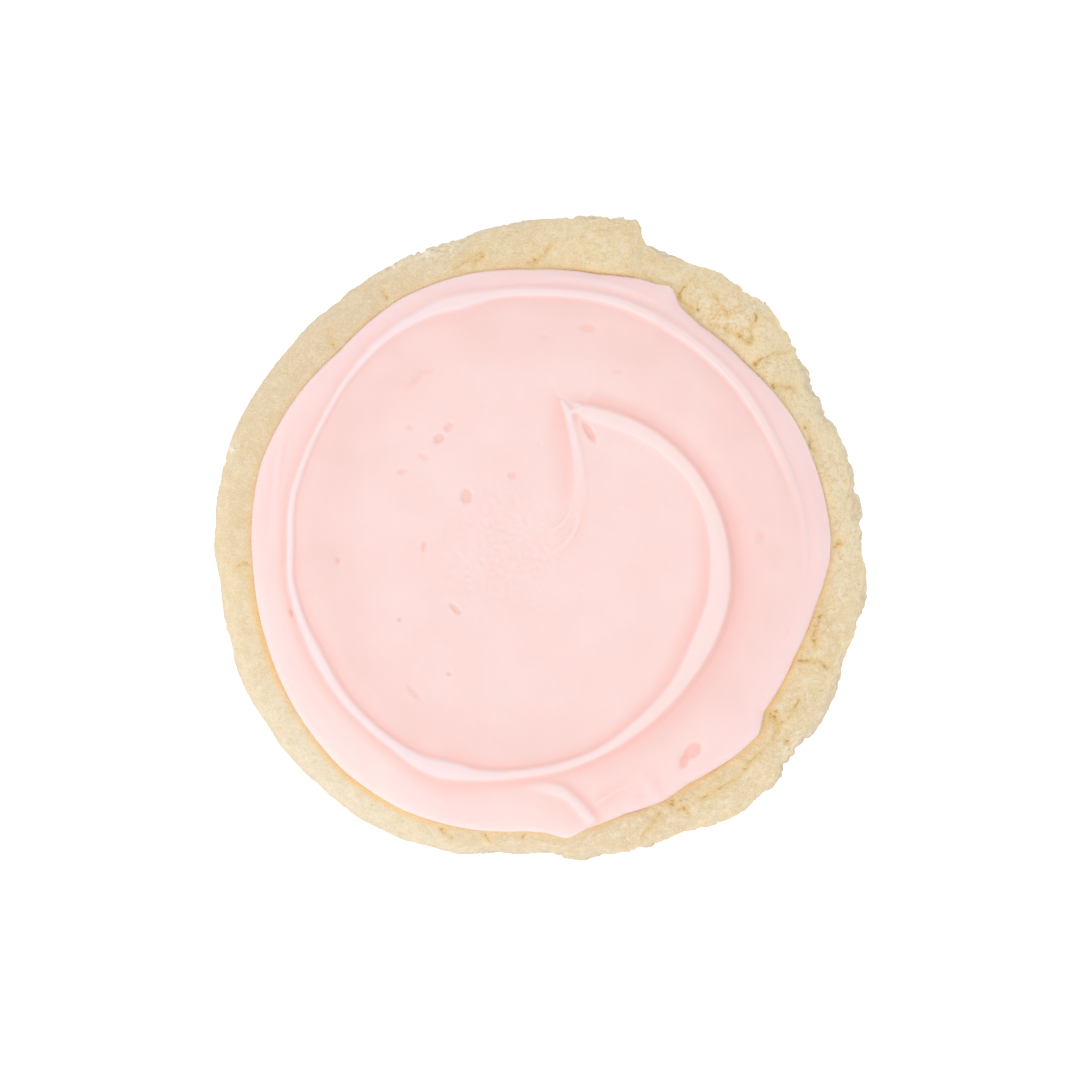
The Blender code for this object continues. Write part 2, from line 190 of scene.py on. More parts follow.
# Direction in degrees and how golden the crumb baked
GOLDEN_SIDE = (
    (0, 0.5), (40, 0.4), (75, 0.4), (90, 0.7), (115, 0.3), (150, 0.5), (185, 0.5), (215, 0.2),
    (290, 0.1), (312, 0.5), (328, 1.0), (345, 1.0),
)
# Direction in degrees and how much painted light lifts the crumb there: a lighter colour on the right and
# upper right, which the key light leaves in shade
PAINTED_LIGHT_SIDE = (
    (0, 0.8), (20, 0.8), (50, 0.45), (75, 0.2), (90, 0.2), (120, 0.0), (280, 0.0), (300, 0.1),
    (325, 0.0), (345, 0.1),
)
# x, y and radius of each patch thick with golden specks
SPECKLED = (
    (28.3, 34.4, 3.2), (22.5, -41.5, 2.5), (43.0, -14.0, 2.2), (37.4, -30.0, 2.2), (-12.5, 43.6, 2.6),
    (36.0, 26.5, 2.0),
)
CRUMB_COLOUR = (0.860, 0.715, 0.475)
GOLDEN_COLOUR = (0.850, 0.662, 0.385)
# Painted light: a lighter crumb colour for the side that is left in shade
PAINTED_LIGHT_COLOUR = (0.940, 0.793, 0.535)
FLECK_COLOUR = (0.890, 0.780, 0.580)
SPECK_COLOUR = (0.770, 0.585, 0.330)
PALE_COLOUR = (0.815, 0.720, 0.575)
# Painted shade: a darker brown crumb colour laid on by direction round the rim
PAINTED_SHADE_COLOUR = (0.755, 0.600, 0.415)
# Golden orange beside the icing: partly stain, partly painted shade
STAIN_AND_SHADE_COLOUR = (0.925, 0.600, 0.245)
# Golden crust down the cracks and torn pockets, darkened as painted shade
CRACK_SHADE_COLOUR = (0.600, 0.390, 0.150)
TORN_SHADE_COLOUR = (0.600, 0.365, 0.125)
HALO_COLOUR = (0.830, 0.600, 0.290)
SPECKLE_COLOUR = (0.730, 0.500, 0.235)
FLAKE_COLOUR = (0.915, 0.835, 0.690)
# Painted shade: a greyer, darker colour low on the side, set against the white table's glow
LOW_SIDE_SHADE_COLOUR = (0.670, 0.570, 0.445)
TOASTED_COLOUR = (0.520, 0.300, 0.120)
CRUMBS_FROM_ICING = 0.8
CRUMBS_FROM_OUTLINE = 0.8
FLAKES_ABOVE = 8.0
FLAKES_PER_CRUMB = 4.0
# x, y and radius of each spot thick with loose flakes
FLAKY = (
    (-18.6, 45.6, 2.2), (-14.5, 46.6, 1.6), (39.2, -33.0, 1.8), (34.0, 36.5, 1.6), (-23.5, 43.5, 1.2),
    (-49.2, 14.3, 0.9),
)
# Lumps for each metre, and detail, of each unevenness in the crumb
BLOTCHES = (300.0, 4.0)
GRAINS = (1250.0, 5.0)
FLECKS = (820.0, 5.0)
SAND = (2700.0, 3.0)
MOTTLE = (520.0, 3.0)
CHALK = (1100.0, 4.0)
SPECKLES = (1700.0, 4.0)
CRACK_FRAY = (1000.0, 4.0)
CRACK_BREAKS = (330.0, 2.0)
POCKET_RAGS = (1700.0, 3.0)
FINE_GRAIN = (3000.0, 4.0)
HAIRLINE_BENDS = (420.0, 3.0)
HAIRLINE_BREAKS = (210.0, 2.0)
# Where each colour starts and is full, its heights in metres, then its share at both
PATCHY = (0.1, 0.8, 0.2, 1.0)
BLOTCHED = (0.4, 0.62)
SAND_LIGHT = (0.5, 0.66, 0.0, 0.55)
SAND_DARK = (0.5, 0.34, 0.0, 0.58)
MOTTLE_LIGHT = (0.5, 0.66, 0.0, 0.3)
MOTTLE_DARK = (0.5, 0.36, 0.0, 0.3)
LOW_SIDE_SHADE = (0.0110, 0.0075, 0.0, 0.9)
CHALKED = (0.47, 0.54)
FLECKED = (0.52, 0.66, 0.0, 0.8)
SPECKED = (0.45, 0.32, 0.0, 0.6)
STAIN_AND_SHADE_BREAKUP = (0.25, 0.55, 0.5, 1.0)
SPECKLED_GOLD = (0.54, 0.62, 0.0, 0.7)
HAIRLINE_KEPT = (0.5, 0.62)
HAIRLINE_CRAGS = (0.1, 0.8)
FRAYED = (0.3, 0.7, -0.7 * CRACK_LINE, 0.7 * CRACK_LINE)
CRACK_DARKENS = (CRACK_LINE, 0.2 * CRACK_LINE, 0.0, 0.9)
CRACK_GLOWS = (4 * CRACK_LINE, CRACK_LINE, 0.0, 0.5)
CRACK_KEPT = (0.40, 0.54, 0.5, 1.0)
RAGGED = (0.3, 0.7, -0.7, 0.7)
POCKET_GLOWS = (2.1, 0.9, 0.0, 0.8)
POCKET_DARKENS = (0.75, 0.35, 0.0, 0.9)
BASE_TOASTS = (0.0045, 0.0, 0.0, 0.85)
TOAST_BLOTCHES = (0.2, 0.7, 0.6, 1.0)
CRUMB_ROUGHNESS = (0.3, 0.7, 0.78, 0.95)
CRUMB_BUMP = (0.0, 0.004, 0.15, 0.7)
CRUMB_BUMP_DEPTH = 0.4
GOLDEN_SHARE = 0.9
CRUMB_SHINE = 0.25
CRUMB_GLOW = 0.06
CRUMB_GLOW_COLOUR = (1.0, 0.6, 0.3)
CRUMB_GLOW_DEPTH = 0.6


def by_direction(table, degrees, reach=CORNER_EASE):
    """The table's value in each direction, its corners eased over the degrees within reach."""
    directions, values = zip(*table)
    shifts = np.linspace(-reach, reach, len(EASE_WEIGHTS))
    eased = [np.interp(degrees + shift, directions, values, period=360) for shift in shifts]
    return np.average(eased, axis=0, weights=EASE_WEIGHTS)


def ease(share):
    """0 below 0, 1 above 1, and a smooth rise between."""
    share = np.clip(share, 0, 1)
    return share * share * (3 - 2 * share)


def smooth(knots, per_span):
    """Rows of numbers joined by a smooth curve through all of them."""
    rows = np.array(knots, float)
    rows = np.vstack([2 * rows[0] - rows[1], rows, 2 * rows[-1] - rows[-2]])
    share = np.linspace(0, 1, per_span, endpoint=False)[:, None]
    spans = []
    for before, start, end, after in zip(rows, rows[1:], rows[2:], rows[3:]):
        bend = 2 * before - 5 * start + 4 * end - after
        twist = 3 * start - 3 * end + after - before
        spans.append(start + 0.5 * ((end - before) * share + bend * share**2 + twist * share**3))
    return np.vstack(spans + [rows[-2:-1]])


def from_line(x, y, line):
    """Each point's distance from a line of points."""
    batches = max(1, len(x) // POINTS_AT_ONCE)
    return np.concatenate([
        np.hypot(some_x[:, None] - line[:, 0], some_y[:, None] - line[:, 1]).min(axis=1)
        for some_x, some_y in zip(np.array_split(x, batches), np.array_split(y, batches))
    ])


def lumps(x, y, z, size):
    """Smooth uneven swelling, its lumps about one size across."""
    points = np.column_stack([x, y, z]) / size
    return np.array([noise.noise(Vector(point)) for point in points])


def wandering(knots):
    """Straight runs between knots, pushed aside unevenly, as x and y of close points."""
    knots = np.array(knots)
    run = np.concatenate([[0], np.cumsum(np.linalg.norm(np.diff(knots, axis=0), axis=1))])
    at = np.arange(0, run[-1], CRACK_POINT_GAP)
    line = np.column_stack([np.interp(at, run, knots[:, 0]), np.interp(at, run, knots[:, 1])])
    for size, reach in CRACK_WANDERS:
        x, y = line.T
        shift = [lumps(x, y, np.full(len(x), level), size) for level in (0, RIM_TOP)]
        line = line + reach * np.column_stack(shift)
    return line


def turned(name, profile, steps):
    """A mesh turned from a profile of radius and height that runs from its top down to its base."""
    outline = bpy.data.meshes.new(name + "_profile")
    outline.from_pydata(
        [(radius * MM, 0, height * MM) for radius, height in profile],
        [(i, i + 1) for i in range(len(profile) - 1)],
        [],
    )
    body = bpy.data.objects.new(name, outline)
    bpy.context.scene.collection.objects.link(body)
    screw = body.modifiers.new("turn", "SCREW")
    screw.steps = steps
    screw.render_steps = steps
    screw.use_merge_vertices = True
    screw.merge_threshold = JOIN_WITHIN * MM
    return applied(body)


def applied(body):
    """The object with its modifiers made part of a plain mesh."""
    bpy.context.view_layer.update()
    graph = bpy.context.evaluated_depsgraph_get()
    mesh = bpy.data.meshes.new_from_object(body.evaluated_get(graph), depsgraph=graph)
    body.modifiers.clear()
    body.data = mesh
    mesh.name = body.name
    return body


def points_of(body):
    """The object's points in mm, as columns x, y and z."""
    points = np.empty(len(body.data.vertices) * 3)
    body.data.vertices.foreach_get("co", points)
    return (points.reshape(-1, 3) / MM).T


def lay(body, x, y, z):
    """Moves the object's points to these places in mm."""
    body.data.vertices.foreach_set("co", (np.column_stack([x, y, z]) * MM).ravel())
    body.data.update()


def mark(body, name, values):
    """Stores a number for each point of the object, for its material and its modifiers."""
    attribute = body.data.attributes.new(name, "FLOAT", "POINT")
    attribute.data.foreach_set("value", np.ascontiguousarray(values, np.float32))


def shade_smooth(body):
    """Shades the object's faces as one smooth surface."""
    body.data.polygons.foreach_set("use_smooth", [True] * len(body.data.polygons))
    body.data.update()


def socket(sockets, key):
    """The socket in use with this name or number."""
    if isinstance(key, int):
        return sockets[key]
    return next(each for each in sockets if each.name == key and each.enabled)


def add(tree, kind, feeds=None, **options):
    """A new node with its options set, and its sockets fed by values or by other sockets."""
    made = tree.nodes.new(kind)
    for option, value in options.items():
        setattr(made, option, value)
    for key, value in (feeds or {}).items():
        target = socket(made.inputs, key)
        if isinstance(value, bpy.types.NodeSocket):
            tree.links.new(value, target)
        else:
            target.default_value = value
    return made


def maths(tree, operation, *values):
    """The result of a Math node, whose inputs are fed in order."""
    return add(tree, "ShaderNodeMath", dict(enumerate(values)), operation=operation).outputs[0]


def times(tree, first, second):
    """Two numbers multiplied."""
    return maths(tree, "MULTIPLY", first, second)


def vector_maths(tree, operation, *values, result="Vector"):
    """A result of a Vector Math node, whose inputs are fed in order."""
    return add(tree, "ShaderNodeVectorMath", dict(enumerate(values)), operation=operation).outputs[result]


def scaled(tree, vector, by):
    """A vector made longer or shorter."""
    return add(tree, "ShaderNodeVectorMath", {0: vector, "Scale": by}, operation="SCALE").outputs[0]


def geometry_tree(name, sizes):
    """An empty Geometry Nodes tree with a named input for each size, its input node and the geometry."""
    tree = bpy.data.node_groups.new(name, "GeometryNodeTree")
    tree.interface.new_socket("Geometry", in_out="INPUT", socket_type="NodeSocketGeometry")
    tree.interface.new_socket("Geometry", in_out="OUTPUT", socket_type="NodeSocketGeometry")
    for label, kind in sizes.items():
        tree.interface.new_socket(label, in_out="INPUT", socket_type="NodeSocket" + kind)
    return tree, tree.nodes.new("NodeGroupInput")


def end_tree(tree, geometry, material):
    """Ends a Geometry Nodes tree: instances made real, and the material set on all of it."""
    real = add(tree, "GeometryNodeRealizeInstances", {"Geometry": geometry})
    dressed = add(tree, "GeometryNodeSetMaterial", {"Geometry": real.outputs[0], "Material": material})
    tree.links.new(dressed.outputs[0], tree.nodes.new("NodeGroupOutput").inputs[0])


def run_tree(body, tree, **sizes):
    """Puts the tree on the object with its sizes, and makes the result a plain mesh."""
    step = body.modifiers.new(tree.name, "NODES")
    step.node_group = tree
    inputs = {item.name: item.identifier for item in tree.interface.items_tree if item.in_out == "INPUT"}
    for label, value in sizes.items():
        step[inputs[label.replace("_", " ")]] = value
    return applied(body)


def plain_material(name):
    """A new material, its node tree and its shader node."""
    made = bpy.data.materials.new(name)
    made.use_nodes = True
    return made, made.node_tree, made.node_tree.nodes["Principled BSDF"]


def colour_mix(tree, share, first, second, blend="MIX"):
    """Two colours mixed by a share from 0 to 1."""
    mix = tree.nodes.new("ShaderNodeMix")
    mix.data_type = "RGBA"
    mix.blend_type = blend
    for key, value in (("Factor", share), ("A", first), ("B", second)):
        target = socket(mix.inputs, key)
        if isinstance(value, bpy.types.NodeSocket):
            tree.links.new(value, target)
        else:
            target.default_value = (*value, 1) if key != "Factor" else value
    return socket(mix.outputs, "Result")


def ranged(tree, value, low, high, to_low=0.0, to_high=1.0, **options):
    """The value's place between low and high, as a place between two others."""
    feeds = {"Value": value, "From Min": low, "From Max": high, "To Min": to_low, "To Max": to_high}
    return add(tree, "ShaderNodeMapRange", feeds, **options).outputs[0]


def spots(tree, place, scale, detail):
    """Noise between 0 and 1 at a number of lumps for each metre."""
    feeds = {"Vector": place, "Scale": scale, "Detail": detail}
    return add(tree, "ShaderNodeTexNoise", feeds).outputs[0]


def sway(tree, place, scale, detail, reach):
    """An uneven shift of up to half the reach in mm each way."""
    feeds = {"Vector": place, "Scale": scale, "Detail": detail}
    coloured = add(tree, "ShaderNodeTexNoise", feeds).outputs["Color"]
    return scaled(tree, vector_maths(tree, "SUBTRACT", coloured, (0.5, 0.5, 0.5)), reach * MM)


def stored(tree, name):
    """The number that the mesh keeps under this name, for a material."""
    return add(tree, "ShaderNodeAttribute", attribute_name=name).outputs["Fac"]


def named(tree, name, kind="FLOAT"):
    """The value that the mesh keeps under this name, for a modifier."""
    return add(tree, "GeometryNodeInputNamedAttribute", {"Name": name}, data_type=kind).outputs[0]


def patches(x, y, places):
    """How deep each point is in any of the round patches, each given as x, y and radius."""
    return sum(np.exp(-((np.hypot(x - at_x, y - at_y) / size) ** 2)) for at_x, at_y, size in places)


def shoulder(inset):
    """Height of the cookie's rounded shoulder at each distance in from the rim's outline."""
    share = np.clip(1 - inset / SHOULDER, 0, 1)
    rise = (1 - share**SHOULDER_POWER) ** (1 / SHOULDER_POWER)
    return COOKIE_WIDEST_AT + (RIM_TOP - COOKIE_WIDEST_AT) * rise


def cookie_profile():
    """Radius and height from the middle of the seat, over the rim and down to the base."""
    profile = [(radius, RIM_TOP) for radius in SEAT_RINGS]
    flat_until = COOKIE_RADIUS - SHOULDER - RIM_RING_GAP / 2
    profile += [(radius, RIM_TOP) for radius in np.arange(RIM_RINGS_FROM, flat_until, RIM_RING_GAP)]
    for turn in np.linspace(0, math.pi / 2, SHOULDER_RINGS):
        inset = SHOULDER * (1 - math.sin(turn) ** (2 / SHOULDER_POWER))
        profile.append((COOKIE_RADIUS - inset, float(shoulder(inset))))
    for turn in np.linspace(0, math.pi / 2, SIDE_RINGS)[1:]:
        inset = FOOT * (1 - math.cos(turn) ** (2 / FOOT_POWER))
        height = COOKIE_WIDEST_AT * (1 - math.sin(turn) ** (2 / FOOT_POWER))
        profile.append((COOKIE_RADIUS - inset, height))
    return profile + [(radius, 0) for radius in BASE_RINGS]


def crack_marks(x, y, z, top_bare):
    """How deep each point is in a crack and in the glow beside it, and its distance from a crack."""
    width_size, width_share = CRACK_UNEVEN
    depth_size, depth_middle, depth_share, least = CRACK_DEEPENS
    unevenness = 1 + width_share * np.abs(lumps(x, y, z, width_size))
    strength = np.clip(depth_middle + depth_share * lumps(x, y, z, depth_size), least, 1) * top_bare
    cracked = np.zeros(len(x))
    glow = np.zeros(len(x))
    from_crack = np.full(len(x), FARTHEST)
    for crack in CRACKS:
        away = from_line(x, y, wandering(crack))
        from_crack = np.minimum(from_crack, away / np.maximum(strength, LEAST_STRENGTH))
        reach = 2 * away / CRACK_WIDTH * unevenness
        cracked = np.maximum(cracked, np.exp(-reach**2) * strength)
        glow = np.maximum(glow, np.exp(-((reach / GLOW_SPREAD) ** 2)) * strength)
    return cracked, glow, from_crack


def pocket_marks(x, y, z, top_bare):
    """How deep each point is in a torn pocket, and its distance from one in pocket sizes."""
    edge_size, edge_share = POCKET_UNEVEN
    torn = np.zeros(len(x))
    from_pocket = np.full(len(x), FARTHEST)
    for centre_x, centre_y, size in POCKETS:
        unevenness = 1 + edge_share * lumps(x, y, z, edge_size)
        reach = np.hypot(x - centre_x, y - centre_y) / (size * unevenness)
        torn = np.maximum(torn, np.exp(-reach**2) * top_bare)
        from_pocket = np.minimum(from_pocket, reach / np.maximum(top_bare, LEAST_STRENGTH))
    return torn, from_pocket


def outline_chips(x, y, z, degrees, inset, craggy):
    """How far the chips and nicks of the outline cut in at each point."""
    near_outline = ease(1 - inset / JAG_WITHIN) * ease(z / FLAT_BELOW)
    jag = sum(lumps(x, y, z / JAG_TALLER, size) * share for size, share in JAGS)
    chipped = JAG_OFF_PATCH + (1 - JAG_OFF_PATCH) * ease(0.5 + 2 * lumps(x, y, z / JAG_TALLER, JAG_PATCHES))
    chips = JAG_DEPTH * (JAG_LEAST_CRAG + craggy) * np.maximum(jag + JAG_BASE, 0) * near_outline * chipped
    beside_widest = np.exp(-(((z - NICK_AT) / NICK_TALL) ** 2))
    for direction, half_width, depth in NICKS:
        turned_off = np.abs((degrees - direction + 180) % 360 - 180) / half_width
        chips = np.maximum(chips, depth * np.exp(-turned_off**4) * near_outline * beside_widest)
    return chips


def cookie_form(cookie):
    """Moves the turned cookie to its real outline, with its seat, crags and cracks."""
    x, y, z = points_of(cookie)
    degrees = np.degrees(np.arctan2(y, x))
    outline = by_direction(COOKIE_OUTLINE, degrees, TEAR_EASE)
    x = x * outline / COOKIE_RADIUS
    y = y * outline / COOKIE_RADIUS
    radius = np.hypot(x, y)
    inset = outline - radius
    on_top = z > COOKIE_WIDEST_AT
    from_icing = radius - by_direction(ICING_OUTLINE, degrees, ICING_EASE)
    outside_icing = ease((from_icing - RIM_CLEAR) / RIM_RISE)
    rim = shoulder(inset)
    seat = np.minimum(rim, SEAT)
    z = np.where(on_top, seat + (rim - seat) * outside_icing, z)

    craggy = by_direction(CRAGS, degrees)
    bare = np.where(on_top, outside_icing, 1)
    top_bare = np.where(on_top, outside_icing, 0)
    swell = sum(lumps(x, y, z, size) * size for size in CRAG_SIZES) / max(CRAG_SIZES)
    push = CRAG_DEPTH * craggy * swell * ease(z / FLAT_BELOW) * bare
    cracked, glow, from_crack = crack_marks(x, y, z, top_bare)
    torn, from_pocket = pocket_marks(x, y, z, top_bare)
    push -= np.maximum(CRACK_DEPTH * cracked, POCKET_DEPTH * torn)
    chips = outline_chips(x, y, z, degrees, inset, craggy)
    out = np.maximum(radius - (outline - SHOULDER), 0)
    up = np.maximum(z - COOKIE_WIDEST_AT, 0)
    away = np.maximum(np.hypot(out, up), 1)
    widen = 1 + push * out / away / np.maximum(radius, 1)
    middle = [(np.max(side * widen) + np.min(side * widen)) / 2 for side in (x, y)]
    cut = 1 - chips / np.maximum(radius, 1)
    lay(cookie, x * widen * cut - middle[0], y * widen * cut - middle[1], z + push * up / away)

    off_icing = ease(from_icing - CRUMBS_FROM_ICING)
    flaky = np.clip(patches(x, y, FLAKY), 0, 1) * top_bare * ease((z - FLAKES_ABOVE) / 2)
    crumbly = off_icing * ease(inset - CRUMBS_FROM_OUTLINE) * craggy
    crumbly = np.maximum(crumbly, FLAKES_PER_CRUMB * flaky * off_icing)
    beside_icing = np.exp(-((np.maximum(from_icing, 0) / STAIN_AND_SHADE_REACH) ** STAIN_AND_SHADE_STEEPNESS))
    stained = np.maximum(beside_icing * by_direction(STAINS_AND_SHADE, degrees), GLOW_STAIN * glow)
    for name, values in (
        ("craggy", craggy),
        ("bare", bare),
        ("crumbs", np.where(on_top, crumbly, 0)),
        ("stained", np.where(on_top, stained, 0)),
        ("from_crack", from_crack),
        ("from_pocket", from_pocket),
        ("flaky", flaky),
        ("speckled", patches(x, y, SPECKLED) * top_bare),
        ("golden_side", by_direction(GOLDEN_SIDE, degrees)),
        ("light_side", by_direction(PAINTED_LIGHT_SIDE, degrees)),
        ("pale_side", by_direction(PALE_SIDE, degrees)),
        ("baked_side", by_direction(PAINTED_SHADE_SIDE, degrees)),
    ):
        mark(cookie, name, values)
    return middle


def hairlines(tree, place):
    """1 on the middle of fine broken cracks in the crumb, falling to 0 at their sides."""
    bent = vector_maths(tree, "ADD", place, sway(tree, place, *HAIRLINE_BENDS, HAIRLINE_SWAY))
    feeds = {"Vector": bent, "Scale": 1 / (HAIRLINE_GAP * MM)}
    cells = add(tree, "ShaderNodeTexVoronoi", feeds, feature="DISTANCE_TO_EDGE")
    from_edge = times(tree, cells.outputs["Distance"], HAIRLINE_GAP * MM)
    line = ranged(tree, from_edge, HAIRLINE_WIDTH * MM, 0.0)
    return times(tree, line, ranged(tree, spots(tree, place, *HAIRLINE_BREAKS), *HAIRLINE_KEPT))


def crack_colours(tree, place, base):
    """The base colour with the cracks, hairlines and torn pockets on it, each golden crust darkened by
    painted shade, darker than its halo.
    """
    raw = stored(tree, "bare")
    fray = ranged(tree, spots(tree, place, *CRACK_FRAY), *FRAYED)
    frayed = maths(tree, "ADD", stored(tree, "from_crack"), fray)
    halo = times(tree, ranged(tree, frayed, *CRACK_GLOWS), raw)
    opened = colour_mix(tree, halo, base, HALO_COLOUR)
    kept = ranged(tree, spots(tree, place, *CRACK_BREAKS), *CRACK_KEPT)
    line = times(tree, ranged(tree, frayed, *CRACK_DARKENS), kept)
    hair = times(tree, hairlines(tree, place), ranged(tree, stored(tree, "craggy"), *HAIRLINE_CRAGS))
    line = times(tree, maths(tree, "MAXIMUM", times(tree, hair, HAIRLINE_SHARE), line), raw)
    opened = colour_mix(tree, line, opened, CRACK_SHADE_COLOUR)
    rags = ranged(tree, spots(tree, place, *POCKET_RAGS), *RAGGED)
    ragged = maths(tree, "ADD", stored(tree, "from_pocket"), rags)
    opened = colour_mix(tree, ranged(tree, ragged, *POCKET_GLOWS), opened, HALO_COLOUR)
    return colour_mix(tree, ranged(tree, ragged, *POCKET_DARKENS), opened, TORN_SHADE_COLOUR)


def baked_material():
    """Dry pale golden crumb, toasted below, golden in the cracks, with painted light and shade on it."""
    made, tree, shader = plain_material("baked_sugar_dough")
    place = add(tree, "ShaderNodeTexCoord").outputs["Object"]
    height = add(tree, "ShaderNodeSeparateXYZ", {0: place}).outputs["Z"]
    patchy = ranged(tree, stored(tree, "craggy"), *PATCHY)
    blotches = spots(tree, place, *BLOTCHES)
    grains = spots(tree, place, *GRAINS)
    blotched = times(tree, ranged(tree, blotches, *BLOTCHED), patchy)
    base = colour_mix(tree, blotched, CRUMB_COLOUR, GOLDEN_COLOUR)
    base = colour_mix(tree, times(tree, stored(tree, "golden_side"), GOLDEN_SHARE), base, GOLDEN_COLOUR)
    # Painted light on the right and upper right of the rim
    base = colour_mix(tree, stored(tree, "light_side"), base, PAINTED_LIGHT_COLOUR)
    # Painted shade on the bottom and upper left of the rim
    base = colour_mix(tree, stored(tree, "baked_side"), base, PAINTED_SHADE_COLOUR)
    base = colour_mix(tree, stored(tree, "pale_side"), base, PALE_COLOUR)
    for unevenness, light, dark in ((SAND, SAND_LIGHT, SAND_DARK), (MOTTLE, MOTTLE_LIGHT, MOTTLE_DARK)):
        grit = spots(tree, place, *unevenness)
        base = colour_mix(tree, ranged(tree, grit, *light), base, FLECK_COLOUR)
        base = colour_mix(tree, ranged(tree, grit, *dark), base, SPECK_COLOUR)
    # Painted shade on the side below the rim, greyer and darker towards the base
    base = colour_mix(tree, ranged(tree, height, *LOW_SIDE_SHADE), base, LOW_SIDE_SHADE_COLOUR)
    chalky = times(tree, ranged(tree, spots(tree, place, *CHALK), *CHALKED), stored(tree, "flaky"))
    base = colour_mix(tree, chalky, base, FLAKE_COLOUR)
    flecked = times(tree, ranged(tree, spots(tree, place, *FLECKS), *FLECKED), patchy)
    base = colour_mix(tree, flecked, base, FLECK_COLOUR)
    base = colour_mix(tree, times(tree, ranged(tree, grains, *SPECKED), patchy), base, SPECK_COLOUR)
    # Golden orange beside the icing: partly stain, partly painted shade at its foot
    stained = times(tree, stored(tree, "stained"), ranged(tree, grains, *STAIN_AND_SHADE_BREAKUP))
    base = colour_mix(tree, stained, base, STAIN_AND_SHADE_COLOUR)
    dots = ranged(tree, spots(tree, place, *SPECKLES), *SPECKLED_GOLD)
    base = colour_mix(tree, times(tree, dots, stored(tree, "speckled")), base, SPECKLE_COLOUR)
    opened = crack_colours(tree, place, base)
    toast = times(tree, ranged(tree, height, *BASE_TOASTS), ranged(tree, blotches, *TOAST_BLOTCHES))
    tree.links.new(colour_mix(tree, toast, opened, TOASTED_COLOUR), shader.inputs["Base Color"])
    tree.links.new(ranged(tree, grains, *CRUMB_ROUGHNESS), shader.inputs["Roughness"])
    shader.inputs["Specular IOR Level"].default_value = CRUMB_SHINE
    shader.inputs["Subsurface Weight"].default_value = CRUMB_GLOW
    shader.inputs["Subsurface Radius"].default_value = CRUMB_GLOW_COLOUR
    shader.inputs["Subsurface Scale"].default_value = CRUMB_GLOW_DEPTH * MM
    bump = add(tree, "ShaderNodeBump", {
        "Strength": ranged(tree, height, *CRUMB_BUMP), "Distance": CRUMB_BUMP_DEPTH * MM,
        "Height": spots(tree, place, *FINE_GRAIN),
    })
    tree.links.new(bump.outputs[0], shader.inputs["Normal"])
    return made


def crumb_tree(material):
    """Pushes a surface out and in along its normals, as the baked crumb's lumps and grain."""
    tree, sizes = geometry_tree("baked_crumb", {
        "lump size": "Float", "lump depth": "Float", "grain size": "Float", "grain depth": "Float",
    })
    size = sizes.outputs
    place = add(tree, "GeometryNodeInputPosition").outputs[0]
    normal = add(tree, "GeometryNodeInputNormal").outputs[0]
    craggy = named(tree, "craggy")
    height = add(tree, "ShaderNodeSeparateXYZ", {0: place}).outputs["Z"]
    lump_scale = maths(tree, "DIVIDE", 1.0, size["lump size"])
    off_middle = maths(tree, "ABSOLUTE", maths(tree, "SUBTRACT", spots(tree, place, lump_scale, 2.0), 0.5))
    lump = times(tree, maths(tree, "SUBTRACT", off_middle, LUMP_MIDDLE), size["lump depth"])
    lump = times(tree, lump, ranged(tree, craggy, 0.0, 1.0, *LUMPS_BY_CRAG))
    grain_scale = maths(tree, "DIVIDE", 1.0, size["grain size"])
    swell = maths(tree, "SUBTRACT", spots(tree, place, grain_scale, 3.0), GRAIN_MIDDLE)
    grain = times(tree, swell, size["grain depth"])
    grain = times(tree, grain, ranged(tree, craggy, 0.0, 1.0, *GRAIN_BY_CRAG))
    grain = times(tree, grain, ranged(tree, named(tree, "flaky"), 0.0, 1.0, *GRAIN_BY_FLAKE))
    off_base = ranged(tree, height, *SMOOTH_BASE)
    push = times(tree, maths(tree, "ADD", lump, grain), times(tree, named(tree, "bare"), off_base))
    feeds = {"Geometry": size["Geometry"], "Offset": scaled(tree, normal, push)}
    end_tree(tree, add(tree, "GeometryNodeSetPosition", feeds).outputs[0], material)
    return tree


cookie = turned("baked_round", cookie_profile(), COOKIE_STEPS)
cookie_middle = cookie_form(cookie)
baked = baked_material()
cookie.data.materials.append(baked)
run_tree(
    cookie, crumb_tree(baked),
    lump_size=LUMP_SIZE * MM, lump_depth=LUMP_DEPTH * MM,
    grain_size=GRAIN_SIZE * MM, grain_depth=GRAIN_DEPTH * MM,
)
shade_smooth(cookie)
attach(cookie, "root")
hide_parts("cookie")

# Crumbs. Grains and flakes of the same baked dough, rubbed loose from the rim and still lying on
# it: more where it is craggy, fewer on the smooth left side.
CRUMB_RADIUS = 0.18
CRUMB_SCALES = (0.5, 1.5)
CRUMBS_PER_MM2 = 0.3
CRUMB_SEED = 5
CRUMB_SUNK = 0.3
CRUMB_FLATNESS = 0.6
CRUMB_TILT = 40.0
CRUMB_KNOBS = (4200.0, 1.0)
CRUMB_KNOB_DEPTH = 0.35


